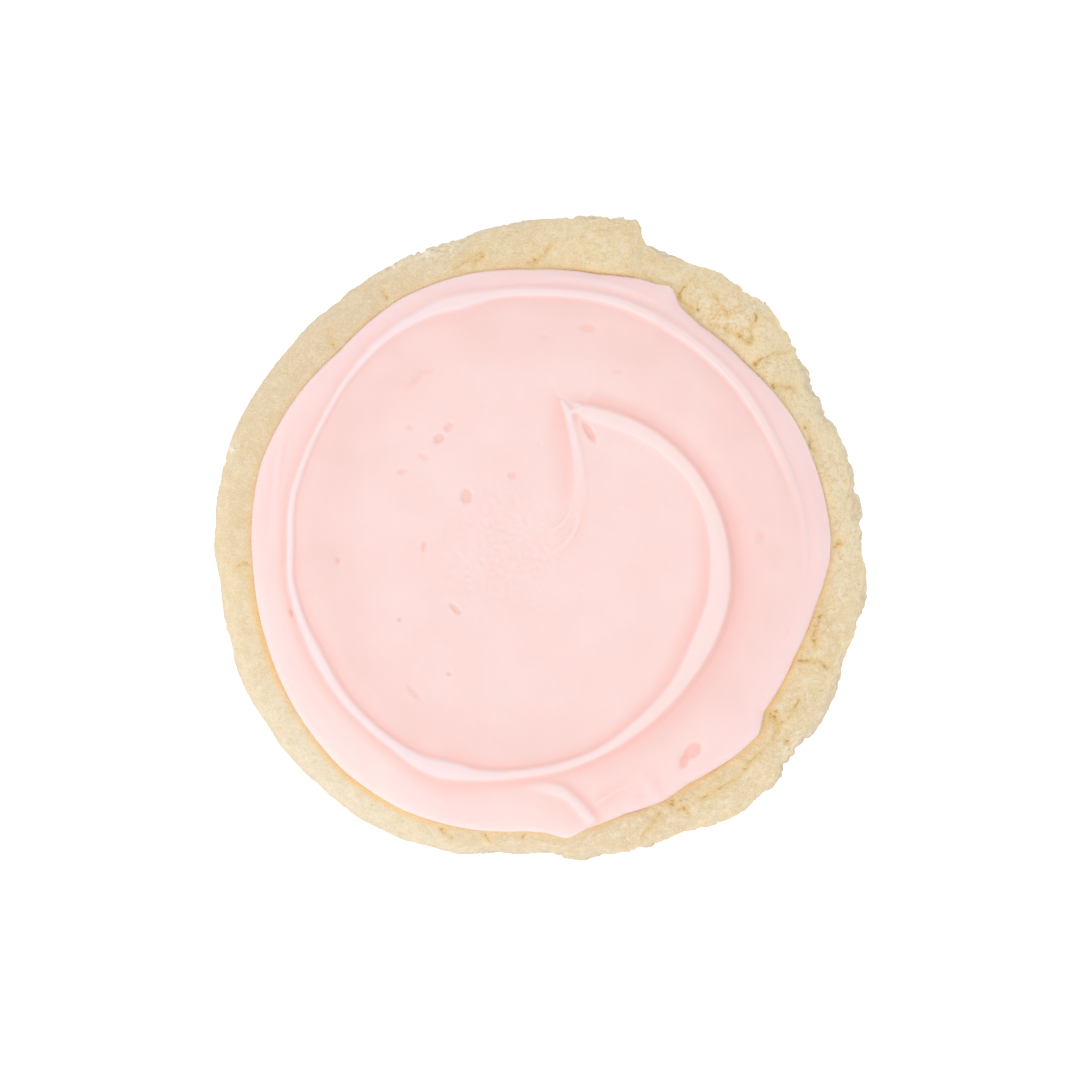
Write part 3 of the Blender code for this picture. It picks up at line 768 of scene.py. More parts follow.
def scatter_tree(material):
    """Rough crumbs set on the rim where it is bare, turned and sized at random."""
    tree, sizes = geometry_tree("rim_crumbs", {
        "rim": "Object", "radius": "Float", "smallest": "Float", "largest": "Float",
        "per square metre": "Float", "seed": "Int", "sunk": "Float", "flatness": "Float", "tilt": "Float",
    })
    size = sizes.outputs
    rim = add(tree, "GeometryNodeObjectInfo", {"Object": size["rim"]}).outputs["Geometry"]
    density = times(tree, named(tree, "crumbs"), size["per square metre"])
    feeds = {"Mesh": rim, "Density": density, "Seed": size["seed"]}
    points = add(tree, "GeometryNodeDistributePointsOnFaces", feeds, distribute_method="RANDOM")
    ball = add(tree, "GeometryNodeMeshIcoSphere", {"Radius": size["radius"], "Subdivisions": 2})
    place = add(tree, "GeometryNodeInputPosition").outputs[0]
    feeds = {"Geometry": ball.outputs["Mesh"], "Offset": sway(tree, place, *CRUMB_KNOBS, CRUMB_KNOB_DEPTH)}
    knobbly = add(tree, "GeometryNodeSetPosition", feeds).outputs[0]
    flat = add(tree, "ShaderNodeCombineXYZ", {0: 1.0, 1: 1.0, 2: size["flatness"]}).outputs[0]
    crumb = add(tree, "GeometryNodeTransform", {"Geometry": knobbly, "Scale": flat}).outputs[0]
    most = add(tree, "ShaderNodeCombineXYZ", {0: size["tilt"], 1: size["tilt"], 2: math.tau}).outputs[0]
    feeds = {"Min": (0.0, 0.0, 0.0), "Max": most, "Seed": size["seed"]}
    turned_by = add(tree, "FunctionNodeRandomValue", feeds, data_type="FLOAT_VECTOR")
    feeds = {"Min": size["smallest"], "Max": size["largest"], "Seed": size["seed"]}
    scaled_by = add(tree, "FunctionNodeRandomValue", feeds, data_type="FLOAT")
    turn = add(tree, "FunctionNodeEulerToRotation", {"Euler": socket(turned_by.outputs, "Value")})
    laid = add(tree, "GeometryNodeInstanceOnPoints", {
        "Points": points.outputs["Points"], "Instance": crumb, "Rotation": turn.outputs[0],
        "Scale": socket(scaled_by.outputs, "Value"),
    })
    down = add(tree, "ShaderNodeCombineXYZ", {2: times(tree, size["sunk"], -1.0)}).outputs[0]
    feeds = {"Instances": laid.outputs[0], "Translation": down, "Local Space": False}
    end_tree(tree, add(tree, "GeometryNodeTranslateInstances", feeds).outputs[0], material)
    return tree


crumbs_mesh = bpy.data.meshes.new("crumbs")
crumbs = bpy.data.objects.new("crumbs", crumbs_mesh)
bpy.context.scene.collection.objects.link(crumbs)
run_tree(
    crumbs, scatter_tree(baked), rim=cookie, radius=CRUMB_RADIUS * MM, smallest=CRUMB_SCALES[0],
    largest=CRUMB_SCALES[1], per_square_metre=CRUMBS_PER_MM2 / MM**2, seed=CRUMB_SEED,
    sunk=CRUMB_SUNK * CRUMB_RADIUS * MM, flatness=CRUMB_FLATNESS, tilt=math.radians(CRUMB_TILT),
)
shade_smooth(crumbs)
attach(crumbs, "root")

# Icing. Soft pink butter icing, thick enough to keep every mark: one spiral pass of a palette
# knife left a crested ridge, a lift-off peak in the middle and a hook where it touched the edge.
GAP = 0.3
SINK = 0.5
ICING_RADIUS = 45.5
EDGE_HEIGHT = 1.9
EDGE_WIDEST = 0.3
EDGE_ROLL = 2.2
EDGE_UNDER = 0.3
BAND_RISE = 1.0
BAND_WIDTH = 8.0
ICING_STEPS = 480
ICING_TOP_RINGS = 174
EDGE_RINGS = 15
UNDER_EDGE_RINGS = 7
UNDER_RINGS = (44, 40, 30, 15, 0)
# Turn in degrees, radius, width and height of the knife's spiral ridge, from its tail to its tip
SWIRL = (
    (-11.4, 42.2, 0.8, 0.00), (-4.8, 41.9, 0.9, 0.10), (3.7, 41.3, 1.1, 0.16), (9.6, 40.8, 1.3, 0.22),
    (15.5, 40.2, 1.4, 0.32), (21.4, 39.7, 1.4, 0.45), (30.8, 39.4, 1.7, 0.65), (37.6, 39.3, 1.7, 0.75),
    (49.8, 39.0, 1.7, 0.85), (61.0, 38.9, 1.9, 0.85), (71.2, 39.0, 1.7, 0.85), (80.8, 38.8, 1.6, 0.80),
    (90.1, 38.7, 1.6, 0.80), (99.4, 39.0, 1.6, 0.80), (104.1, 39.1, 2.1, 0.85), (108.8, 39.3, 2.7, 0.90),
    (113.5, 39.7, 2.5, 0.90), (119.0, 39.8, 1.9, 0.85), (128.5, 39.9, 1.5, 0.75), (140.8, 39.4, 1.1, 0.65),
    (151.5, 39.0, 1.0, 0.60), (161.7, 39.2, 1.1, 0.60), (171.3, 39.6, 1.2, 0.65), (181.6, 39.5, 1.3, 0.70),
    (189.5, 40.0, 1.3, 0.75), (199.0, 39.9, 1.5, 0.80), (207.6, 39.8, 2.1, 0.90), (219.7, 40.0, 1.7, 0.85),
    (232.9, 40.0, 1.7, 0.85), (241.8, 40.2, 2.7, 0.95), (246.5, 39.8, 3.3, 1.00), (251.1, 39.2, 3.0, 1.00),
    (255.7, 38.7, 2.2, 0.95), (265.0, 37.4, 1.7, 0.90), (274.8, 36.3, 1.7, 0.90), (285.5, 35.0, 1.7, 0.95),
    (298.1, 33.3, 2.4, 1.05), (314.5, 31.6, 3.0, 1.10), (326.1, 30.5, 3.9, 1.18), (340.7, 29.6, 3.9, 1.20),
    (353.0, 28.5, 3.5, 1.20), (365.9, 27.4, 3.0, 1.12), (380.3, 26.0, 2.6, 1.02), (398.2, 23.9, 2.8, 0.95),
    (415.8, 22.0, 3.0, 0.88), (424.5, 21.3, 2.9, 0.82), (431.0, 21.1, 2.5, 0.72), (434.0, 21.5, 1.5, 0.50),
)
# x, y, width and height along each smaller mark of the knife
PEAK = (
    (3.3, 21.4, 0.7, 0.5), (3.8, 20.5, 1.1, 0.65), (4.3, 19.2, 1.4, 0.7), (5.0, 16.2, 1.6, 0.62),
    (5.6, 13.1, 1.9, 0.55), (5.9, 9.9, 2.3, 0.45), (5.9, 6.8, 2.7, 0.3), (5.4, 4.1, 2.8, 0.18),
    (4.2, 1.3, 3.0, 0.0),
)
HOOK = (
    (-1.8, -39.2, 1.6, 0.10), (0.5, -39.5, 2.2, 0.45), (2.7, -40.0, 2.4, 0.65), (4.5, -41.0, 1.9, 0.9),
    (5.9, -42.4, 2.0, 1.0), (7.0, -43.7, 2.0, 1.05), (7.6, -44.4, 1.8, 0.9),
)
FLAP = ((4.4, 19.8, 0.9, 0.9), (5.4, 19.9, 1.0, 0.75), (6.5, 20.4, 0.9, 0.9))
FOLD = ((8.9, -41.9, 0.6, 0.3), (10.5, -40.8, 0.6, 0.35), (12.1, -39.9, 0.6, 0.3), (14.4, -38.5, 0.5, 0.08))
EDGE_FOLD = ((15.4, -37.8, 1.9, 0.08), (17.0, -39.7, 2.2, 0.3), (18.1, -41.5, 1.6, 0.15))
SWOOSH = ((5.6, 8.6, 0.6, 0.16), (5.0, 5.0, 0.6, 0.26), (3.4, 2.2, 0.8, 0.24), (0.9, 0.6, 0.9, 0.04))
LOW_SWOOSH = ((6.4, 5.8, 0.6, 0.16), (5.8, 2.4, 0.8, 0.26), (4.2, -0.6, 0.8, 0.22), (1.5, -2.4, 0.9, 0.04))
OLD_PASS = (
    (-40.3, 18.0, 0.8, 0.0), (-40.9, 14.7, 0.9, 0.2), (-41.6, 10.7, 1.1, 0.25), (-42.0, 6.0, 1.3, 0.2),
    (-42.2, 1.3, 1.3, 0.1), (-42.0, -3.5, 1.3, 0.0),
)
LOW_PASS = (
    (-41.7, -16.1, 1.3, 0.0), (-39.8, -19.9, 1.4, 0.07), (-36.3, -26.3, 1.6, 0.09),
    (-30.8, -33.1, 1.6, 0.07), (-25.3, -36.9, 1.4, 0.0),
)
HIGH_PASS = (
    (-3.2, 40.8, 0.8, 0.0), (3.1, 40.8, 0.8, 0.15), (9.4, 40.2, 0.9, 0.22), (15.7, 38.2, 0.9, 0.22),
    (19.5, 36.3, 0.8, 0.12), (22.6, 34.2, 0.8, 0.0),
)
# x, y, half length, half width, turn in degrees and depth of each pit in the icing
PITS = (
    (-16.0, 15.6, 1.0, 0.7, 40, 0.30), (-14.5, 17.4, 0.9, 0.6, 50, 0.20),
    (-11.7, 6.5, 1.25, 0.95, 85, 0.30), (7.4, 33.0, 1.2, 0.7, 0, 0.17),
    (7.6, 16.6, 1.9, 0.6, 122, 0.40), (-13.5, -11.2, 1.2, 0.5, 135, 0.30),
    (-18.4, -1.4, 0.8, 0.4, 80, 0.20), (23.9, -33.6, 1.75, 1.15, 35, 0.40),
    (22.6, -35.2, 1.25, 0.75, 75, 0.40), (-20.0, -24.3, 1.6, 0.5, 135, 0.12),
    (-31.9, -3.5, 0.45, 0.35, 60, 0.25), (-39.3, -11.7, 0.7, 0.3, 110, 0.40),
    (-22.2, -12.9, 0.4, 0.3, 0, 0.22), (-14.4, -21.4, 0.4, 0.3, 0, 0.22),
    (-4.5, 9.8, 0.7, 0.6, 0, 0.15), (-21.8, 10.4, 0.8, 0.5, 10, 0.16), (-20.6, 17.3, 0.5, 0.5, 0, 0.14),
    (-18.5, 12.8, 0.5, 0.9, 60, 0.12), (34.6, 0.2, 1.0, 0.8, 80, 0.12),
    (-19.8, 24.8, 1.9, 0.5, 50, 0.10), (-18.0, 26.2, 1.2, 0.4, 10, 0.08),
    (12.1, 26.2, 0.7, 0.4, 20, 0.10), (38.9, -14.8, 0.6, 0.4, 60, 0.10), (0.5, 31.7, 0.7, 0.5, 0, 0.08),
)
PATH_STEPS = 14
BUBBLES = 50
BUBBLE_SEED = 6
BUBBLE_RADII = (0.18, 0.35)
BUBBLE_DEPTH = 0.06
BUBBLES_WITHIN = 38
SWELL_SIZE = 17.0
SWELL_DEPTH = 0.22
DRAG_WIDTH = 1.3
DRAG_DEPTH = 0.014
DRAG_FROM = 12.0
DRAG_AROUND = 3
LEVEL_EDGE = 4
ROUGH_PATCH = (-7.0, -2.5, 10.0)
ROUGH_DEPTH = 0.13
ROUGH_SIZE = 0.9
DISH_DEPTH = 0.5
DISH_RADIUS = 36.0
ICING_COLOUR = (0.955, 0.722, 0.698)
# Random clouding, and painted shade in the ring's valley and the knife's hollows
CLOUD_AND_SHADE_COLOUR = (0.905, 0.640, 0.608)
# Painted highlight on the knife's crests and the lower-left band, cooler on the left
HIGHLIGHT_COLOUR = (0.945, 0.755, 0.738)
COOL_HIGHLIGHT_COLOUR = (0.925, 0.770, 0.785)
# Painted shade on the outer band at the top and right
BAND_SHADE_COLOUR = (0.915, 0.705, 0.705)
# Painted shade at the feet of the knife's ridges, in a deeper pink
FOOT_SHADE_COLOUR = (0.970, 0.570, 0.515)
# Turn in degrees, and how much painted shade, in a deeper pink, lies at the ridge's inner and outer feet
# there
INNER_FOOT_SHADE = ((0, 0.8), (50, 0.45), (170, 0.45), (215, 0.9), (345, 1.0), (385, 0.15))
OUTER_FOOT_SHADE = ((130, 0.25), (190, 1.0))
# How much painted shade lies at the left and right feet of the smaller marks, where it isn't full
FOOT_SHADES = {
    "peak": (0.05, 1), "flap": (0.1, 1), "hook": (1, 0.5), "old_pass": (0.4, 0.3), "high_pass": (0.3, 0.3),
}
# Direction in degrees and how much painted shade, a little darker and cooler, lies on the outer band
BAND_SHADE = ((0, 0.7), (60, 1.0), (110, 1.0), (150, 0.5), (190, 0.15), (230, 0.0), (270, 0.1), (300, 0.6))
BAND_SHADE_WIDTH = 3.0
# Painted shade in the valley inside the ring and down in the knife's hollows
VALLEY_SHADE_AT = 34.5
VALLEY_SHADE_SPREAD = 5.5
VALLEY_SHADE_LEAST = 0.25
VALLEY_SHADE_MOST = 0.5
SHADE_BY_HOLLOW = 1.2
# Line of the painted highlight on the outer band at the lower left
BAND_HIGHLIGHT_LINE = ((-44.5, -10.0), (-41.5, -20.0), (-36.0, -29.0), (-29.0, -36.0), (-20.0, -41.0))
BAND_HIGHLIGHT_WIDTH = 4.0
PIT_DEEPEST = 0.4
PIT_STEEPNESS = 3
CRISP_PITS_FROM = 0.28
SHALLOW_PIT_SHADE = 1.2
# Painted shade down in the pits, in a deeper pink
PIT_SHADE_COLOUR = (0.985, 0.560, 0.500)
RIDGE_HEIGHT = 0.65
# Widths between which a mark grows a soft tail on its left, and those of the softer peak
TAIL_WIDTHS = (1.3, 3.5)
PEAK_TAIL_WIDTHS = (0.2, 1.6)
TAIL_SHARE = 0.35
TAIL_LENGTH = 6.0
HOLLOW_DEPTH = 0.4
HOLLOW_AT = 1.5
HOLLOW_SPREAD = 1.6
LEAST_FALL = 0.4
MOST_FALL = 1.1
FLANK_AT = 0.25
FLANK_SPREAD = 0.9
DOME_DROP = 0.2
HIGHLIGHT_BY_HEIGHT = 2.2
# Share of the fall over which the left and right sides of a crest keep its painted highlight
HIGHLIGHT_SIDES = (0.25, -0.35)
SIDES_BLEND = 0.1
# Lumps for each metre, and detail, of the icing's clouding and of its fine skin
CLOUDS = (110.0, 4.0)
FINE_SKIN = (1500.0, 3.0)
# Where each colour starts and is full, its places in metres, then its share at both
CLOUDED = (0.3, 0.7, -0.25, 0.25)
COOL_HIGHLIGHTS = (0.020, -0.015)
PIT_RAGS = (0.3, 0.7, -0.08, 0.08)
PIT_EDGE = (1.0, 0.78)
PIT_SHADE_SHARE = 0.8
BAND_HIGHLIGHT_SHARE = 0.6
FLANK_SHARE = 0.65
CREST_SHARE = 0.85
ICING_ROUGHNESS = (0.3, 0.7, 0.42, 0.56)
ICING_SHINE = 0.35
ICING_GLOW = 0.5
ICING_GLOW_COLOUR = (1.0, 0.5, 0.45)
ICING_GLOW_DEPTH = 1.8
ICING_BUMP = 0.12
ICING_BUMP_DEPTH = 0.1


def path_points(name, line, inner_pink, outer_pink):
    """Points of a line for the ridge tree: its run, width, height and the painted shade at its feet."""
    ahead = np.gradient(line[:, :2], axis=0)
    ahead /= np.linalg.norm(ahead, axis=1)[:, None]
    mesh = bpy.data.meshes.new(name)
    mesh.from_pydata([(px * MM, py * MM, 0) for px, py in line[:, :2]], [], [])
    path = bpy.data.objects.new(name, mesh)
    bpy.context.scene.collection.objects.link(path)
    run = mesh.attributes.new("ahead", "FLOAT_VECTOR", "POINT")
    run.data.foreach_set("vector", np.column_stack([ahead, np.zeros(len(line))]).ravel())
    mark(path, "width", line[:, 2] * MM)
    mark(path, "height", line[:, 3] * RIDGE_HEIGHT)
    mark(path, "inner_pink", inner_pink * np.ones(len(line)))
    mark(path, "outer_pink", outer_pink * np.ones(len(line)))
    mark(path, "is_end", [1.0] + [0.0] * (len(line) - 2) + [1.0])
    return path


def swirl_line():
    """The spiral as x, y, width and height at each point, and the painted shade at its feet there."""
    line = smooth(SWIRL, PATH_STEPS)
    turn = np.radians(line[:, 0])
    inner_pink = np.interp(line[:, 0], *zip(*INNER_FOOT_SHADE))
    outer_pink = np.interp(line[:, 0], *zip(*OUTER_FOOT_SHADE))
    line[:, :2] = np.column_stack([np.cos(turn), np.sin(turn)]) * line[:, 1:2]
    return line, inner_pink, outer_pink


def on_path(tree, path, nearest, value, kind="FLOAT"):
    """A value taken from the path's nearest point."""
    feeds = {"Geometry": path, "Value": value, "Index": nearest}
    return add(tree, "GeometryNodeSampleIndex", feeds, data_type=kind).outputs[0]


def falloff(tree, value, spread):
    """1 where the value is 0, falling to 0 over the spread to either side."""
    reach = maths(tree, "DIVIDE", value, spread)
    return maths(tree, "EXPONENT", times(tree, times(tree, reach, reach), -1.0))


def one_side(tree, on_right, left, right):
    """The left or the right value, by the side of the path."""
    chosen = add(tree, "ShaderNodeMix", {"Factor": on_right, "A": left, "B": right}, data_type="FLOAT")
    return socket(chosen.outputs, "Result")


def ridge_tree(material):
    """Raises a ridge along a path: steep with a hollow at its foot on the right, soft on the left."""
    tree, sizes = geometry_tree("knife_ridge", {
        "path": "Object", "hollow depth": "Float", "hollow at": "Float", "hollow spread": "Float",
        "narrow": "Float", "wide": "Float", "tail share": "Float", "tail length": "Float",
        "least fall": "Float", "most fall": "Float", "flank at": "Float", "flank spread": "Float",
    })
    size = sizes.outputs
    path = add(tree, "GeometryNodeObjectInfo", {"Object": size["path"]}).outputs["Geometry"]
    place = add(tree, "GeometryNodeInputPosition").outputs[0]
    flat = vector_maths(tree, "MULTIPLY", place, (1, 1, 0))
    nearest = add(tree, "GeometryNodeSampleNearest", {"Geometry": path, "Sample Position": flat}).outputs[0]
    middle = on_path(tree, path, nearest, place, "FLOAT_VECTOR")
    ahead = on_path(tree, path, nearest, named(tree, "ahead", "FLOAT_VECTOR"), "FLOAT_VECTOR")
    width, height, inner_pink, outer_pink, is_end = (
        on_path(tree, path, nearest, named(tree, name))
        for name in ("width", "height", "inner_pink", "outer_pink", "is_end")
    )

    off = vector_maths(tree, "SUBTRACT", flat, middle)
    parts = add(tree, "ShaderNodeSeparateXYZ", {0: ahead}).outputs
    right = add(tree, "ShaderNodeCombineXYZ", {0: parts["Y"], 1: times(tree, parts["X"], -1.0)}).outputs[0]
    across = vector_maths(tree, "DOT_PRODUCT", off, right, result="Value")
    on_right = maths(tree, "GREATER_THAN", across, 0.0)
    past_end = times(tree, vector_maths(tree, "DOT_PRODUCT", off, ahead, result="Value"), is_end)
    squares = maths(tree, "ADD", times(tree, across, across), times(tree, past_end, past_end))
    distance = maths(tree, "SQRT", squares)
    half_width = times(tree, width, 0.5)
    past_edge = maths(tree, "SUBTRACT", distance, half_width)
    share = ranged(tree, width, size["narrow"], size["wide"])
    fall = maths(tree, "MAXIMUM", half_width, size["least fall"])
    fall = times(tree, maths(tree, "MINIMUM", fall, size["most fall"]), 0.5)
    before = times(tree, fall, -1.0)

    flat_top = ranged(tree, past_edge, before, fall, 1.0, 0.0, interpolation_type="SMOOTHSTEP")
    to_edge = maths(tree, "MINIMUM", maths(tree, "DIVIDE", distance, half_width), 1.0)
    drop = times(tree, times(tree, to_edge, to_edge), DOME_DROP)
    body = times(tree, flat_top, maths(tree, "SUBTRACT", 1.0, drop))
    from_hollow = maths(tree, "SUBTRACT", past_edge, size["hollow at"])
    hollow = times(tree, size["hollow depth"], falloff(tree, from_hollow, size["hollow spread"]))
    steep = maths(tree, "SUBTRACT", body, times(tree, hollow, share))
    tail = times(tree, size["tail share"], share)
    run_out = maths(tree, "DIVIDE", distance, times(tree, size["tail length"], -1.0))
    crown = times(tree, maths(tree, "SUBTRACT", 1.0, tail), body)
    soft = maths(tree, "ADD", crown, times(tree, tail, maths(tree, "EXPONENT", run_out)))
    rise = times(tree, height, one_side(tree, on_right, soft, steep))

    # Painted highlight along the crest, stronger on taller marks
    strength = maths(tree, "MINIMUM", times(tree, height, HIGHLIGHT_BY_HEIGHT), 1.0)
    white_until = times(tree, fall, ranged(tree, across, -SIDES_BLEND * MM, SIDES_BLEND * MM, *HIGHLIGHT_SIDES))
    white_from = maths(tree, "ADD", before, white_until)
    white = ranged(tree, past_edge, white_from, white_until, 1.0, 0.0, interpolation_type="SMOOTHSTEP")
    crest = times(tree, white, strength)
    # Painted shade, in a deeper pink, at the ridge's feet, kept under flank
    from_flank = maths(tree, "SUBTRACT", past_edge, size["flank at"])
    spread = times(tree, size["flank spread"], maths(tree, "ADD", share, 1.0))
    foot_shading = times(tree, strength, one_side(tree, on_right, inner_pink, outer_pink))
    flank = times(tree, falloff(tree, from_flank, spread), foot_shading)
    geometry = size["Geometry"]
    for name, operation, value in (
        ("lift", "MAXIMUM", rise), ("hollow", "MINIMUM", rise),
        ("crest", "MAXIMUM", crest), ("flank", "MAXIMUM", flank),
    ):
        kept = maths(tree, operation, named(tree, name), value)
        feeds = {"Geometry": geometry, "Name": name, "Value": kept}
        geometry = add(tree, "GeometryNodeStoreNamedAttribute", feeds, data_type="FLOAT").outputs[0]
    end_tree(tree, geometry, material)
    return tree


def icing_profile():
    """Radius and height above the underside, from the middle of the top round the rolled edge."""
    top = np.linspace(0, ICING_RADIUS - EDGE_ROLL, ICING_TOP_RINGS)
    profile = [(radius, EDGE_HEIGHT) for radius in top]
    for turn in np.linspace(0, math.pi / 2, EDGE_RINGS)[1:]:
        inset = EDGE_ROLL * (1 - math.sin(turn))
        profile.append((ICING_RADIUS - inset, EDGE_WIDEST + (EDGE_HEIGHT - EDGE_WIDEST) * math.cos(turn)))
    for turn in np.linspace(0, math.pi / 2, UNDER_EDGE_RINGS)[1:]:
        inset = EDGE_UNDER * (1 - math.cos(turn))
        profile.append((ICING_RADIUS - inset, EDGE_WIDEST * (1 - math.sin(turn))))
    return profile + [(radius, 0) for radius in UNDER_RINGS]


def pit(x, y, centre_x, centre_y, half_length, half_width, turn, depth):
    """Depth of one steep-sided oval pit."""
    turn = math.radians(turn)
    along = (x - centre_x) * math.cos(turn) + (y - centre_y) * math.sin(turn)
    across = (y - centre_y) * math.cos(turn) - (x - centre_x) * math.sin(turn)
    return depth * np.exp(-(((along / half_length) ** 2 + (across / half_width) ** 2) ** PIT_STEEPNESS))


def values_of(body, name):
    """The numbers stored for each point of the object."""
    values = np.empty(len(body.data.vertices), np.float32)
    body.data.attributes[name].data.foreach_get("value", values)
    return values.astype(float)


def shaded_pits(tree, place, fine, base, middle):
    """The base colour with painted shade, a deeper pink, down in each deep pit, crisp and a little ragged
    at its edge.
    """
    for centre_x, centre_y, half_length, half_width, turn, depth in PITS:
        if depth < CRISP_PITS_FROM:
            continue
        over = add(tree, "ShaderNodeMapping", {
            "Vector": place, "Location": ((centre_x - middle[0]) * MM, (centre_y - middle[1]) * MM, 0),
            "Rotation": (0, 0, math.radians(turn)), "Scale": (half_length * MM, half_width * MM, 1),
        }, vector_type="TEXTURE")
        flat = vector_maths(tree, "MULTIPLY", over.outputs[0], (1, 1, 0))
        reach = vector_maths(tree, "LENGTH", flat, result="Value")
        ragged = maths(tree, "ADD", reach, ranged(tree, fine, *PIT_RAGS))
        inside = ranged(tree, ragged, *PIT_EDGE, 0.0, depth / PIT_DEEPEST * PIT_SHADE_SHARE)
        base = colour_mix(tree, inside, base, PIT_SHADE_COLOUR)
    return base


def icing_material(middle):
    """Pale pink butter icing with a soft sheen, painted highlights on crests and painted shade in hollows.
    """
    made, tree, shader = plain_material("pink_butter_icing")
    place = add(tree, "ShaderNodeTexCoord").outputs["Object"]
    cloud = ranged(tree, spots(tree, place, *CLOUDS), *CLOUDED)
    # Random clouding with painted shade in the ring's valley and the hollows
    body = colour_mix(tree, maths(tree, "ADD", stored(tree, "thin"), cloud), ICING_COLOUR, CLOUD_AND_SHADE_COLOUR)
    # Painted highlight on the outer band at the lower left
    body = colour_mix(tree, times(tree, stored(tree, "pale"), BAND_HIGHLIGHT_SHARE), body, HIGHLIGHT_COLOUR)
    # Painted shade on the outer band, most at the top and right
    body = colour_mix(tree, stored(tree, "cool"), body, BAND_SHADE_COLOUR)
    # Painted shade at the feet of the knife's ridges
    body = colour_mix(tree, times(tree, stored(tree, "flank"), FLANK_SHARE), body, FOOT_SHADE_COLOUR)
    sideways = add(tree, "ShaderNodeSeparateXYZ", {0: place}).outputs["X"]
    # Painted highlight on the crests, cooler towards the left
    crest_highlight_colour = colour_mix(tree, ranged(tree, sideways, *COOL_HIGHLIGHTS), HIGHLIGHT_COLOUR, COOL_HIGHLIGHT_COLOUR)
    body = colour_mix(tree, times(tree, stored(tree, "crest"), CREST_SHARE), body, crest_highlight_colour)
    # Painted shade down in the shallow pits
    body = colour_mix(tree, stored(tree, "dip"), body, PIT_SHADE_COLOUR)
    fine = spots(tree, place, *FINE_SKIN)
    tree.links.new(shaded_pits(tree, place, fine, body, middle), shader.inputs["Base Color"])
    tree.links.new(ranged(tree, fine, *ICING_ROUGHNESS), shader.inputs["Roughness"])
    shader.inputs["Specular IOR Level"].default_value = ICING_SHINE
    shader.inputs["Subsurface Weight"].default_value = ICING_GLOW
    shader.inputs["Subsurface Radius"].default_value = ICING_GLOW_COLOUR
    shader.inputs["Subsurface Scale"].default_value = ICING_GLOW_DEPTH * MM
    feeds = {"Strength": ICING_BUMP, "Distance": ICING_BUMP_DEPTH * MM, "Height": fine}
    tree.links.new(add(tree, "ShaderNodeBump", feeds).outputs[0], shader.inputs["Normal"])
    return made


def bubble_dents(x, y):
    """How deep each point is in the small burst bubbles, which lie at random."""
    draw = np.random.default_rng(BUBBLE_SEED)
    dents = np.zeros(len(x))
    for _ in range(BUBBLES):
        away = BUBBLES_WITHIN * math.sqrt(draw.random())
        turn = draw.uniform(0, math.tau)
        radius = draw.uniform(*BUBBLE_RADII)
        dents += pit(x, y, away * math.cos(turn), away * math.sin(turn), radius, radius, 0, BUBBLE_DEPTH)
    return dents


def spread_unevenness(x, y, inset):
    """How uneven the knife left the icing: slow swells, fine drag lines round it and a rough patch."""
    swell = lumps(x, y, 0 * x, SWELL_SIZE) * SWELL_DEPTH
    turn = np.arctan2(y, x)
    away = np.hypot(x, y)
    drag = lumps(away / DRAG_WIDTH, DRAG_AROUND * np.cos(turn), DRAG_AROUND * np.sin(turn), 1)
    drag = drag * DRAG_DEPTH * ease(away / DRAG_FROM)
    centre_x, centre_y, reach = ROUGH_PATCH
    patch = np.exp(-((x - centre_x) ** 2 + (y - centre_y) ** 2) / reach**2)
    return (swell + drag) * ease(inset / LEVEL_EDGE) + lumps(x, y, 0 * x, ROUGH_SIZE) * patch * ROUGH_DEPTH


def knife_marks():
    """Name, line and painted shade at both feet of each mark that the knife left."""
    yield "swirl", *swirl_line()
    for name, knots in (
        ("peak", PEAK), ("hook", HOOK), ("flap", FLAP), ("fold", FOLD), ("edge_fold", EDGE_FOLD),
        ("swoosh", SWOOSH), ("low_swoosh", LOW_SWOOSH), ("old_pass", OLD_PASS), ("low_pass", LOW_PASS),
        ("high_pass", HIGH_PASS),
    ):
        yield name, smooth(knots, PATH_STEPS), *FOOT_SHADES.get(name, (1, 1))


pink = icing_material(cookie_middle)
icing = turned("spread_icing", icing_profile(), ICING_STEPS)
icing.data.materials.append(pink)
x, y, z = points_of(icing)
edge = by_direction(ICING_OUTLINE, np.degrees(np.arctan2(y, x)), ICING_EASE)
x = x * edge / ICING_RADIUS
y = y * edge / ICING_RADIUS
lay(icing, x, y, z)
for name in ("lift", "hollow", "crest", "flank"):
    mark(icing, name, np.zeros(len(x)))
knife_ridge = ridge_tree(pink)
for name, line, inner_pink, outer_pink in knife_marks():
    path = path_points(name, line, inner_pink, outer_pink)
    narrow, wide = PEAK_TAIL_WIDTHS if name == "peak" else TAIL_WIDTHS
    run_tree(
        icing, knife_ridge, path=path, hollow_depth=HOLLOW_DEPTH, hollow_at=HOLLOW_AT * MM,
        hollow_spread=HOLLOW_SPREAD * MM, narrow=narrow * MM, wide=wide * MM, tail_share=TAIL_SHARE,
        tail_length=TAIL_LENGTH * MM, least_fall=LEAST_FALL * MM, most_fall=MOST_FALL * MM,
        flank_at=FLANK_AT * MM, flank_spread=FLANK_SPREAD * MM,
    )
    bpy.data.objects.remove(path)

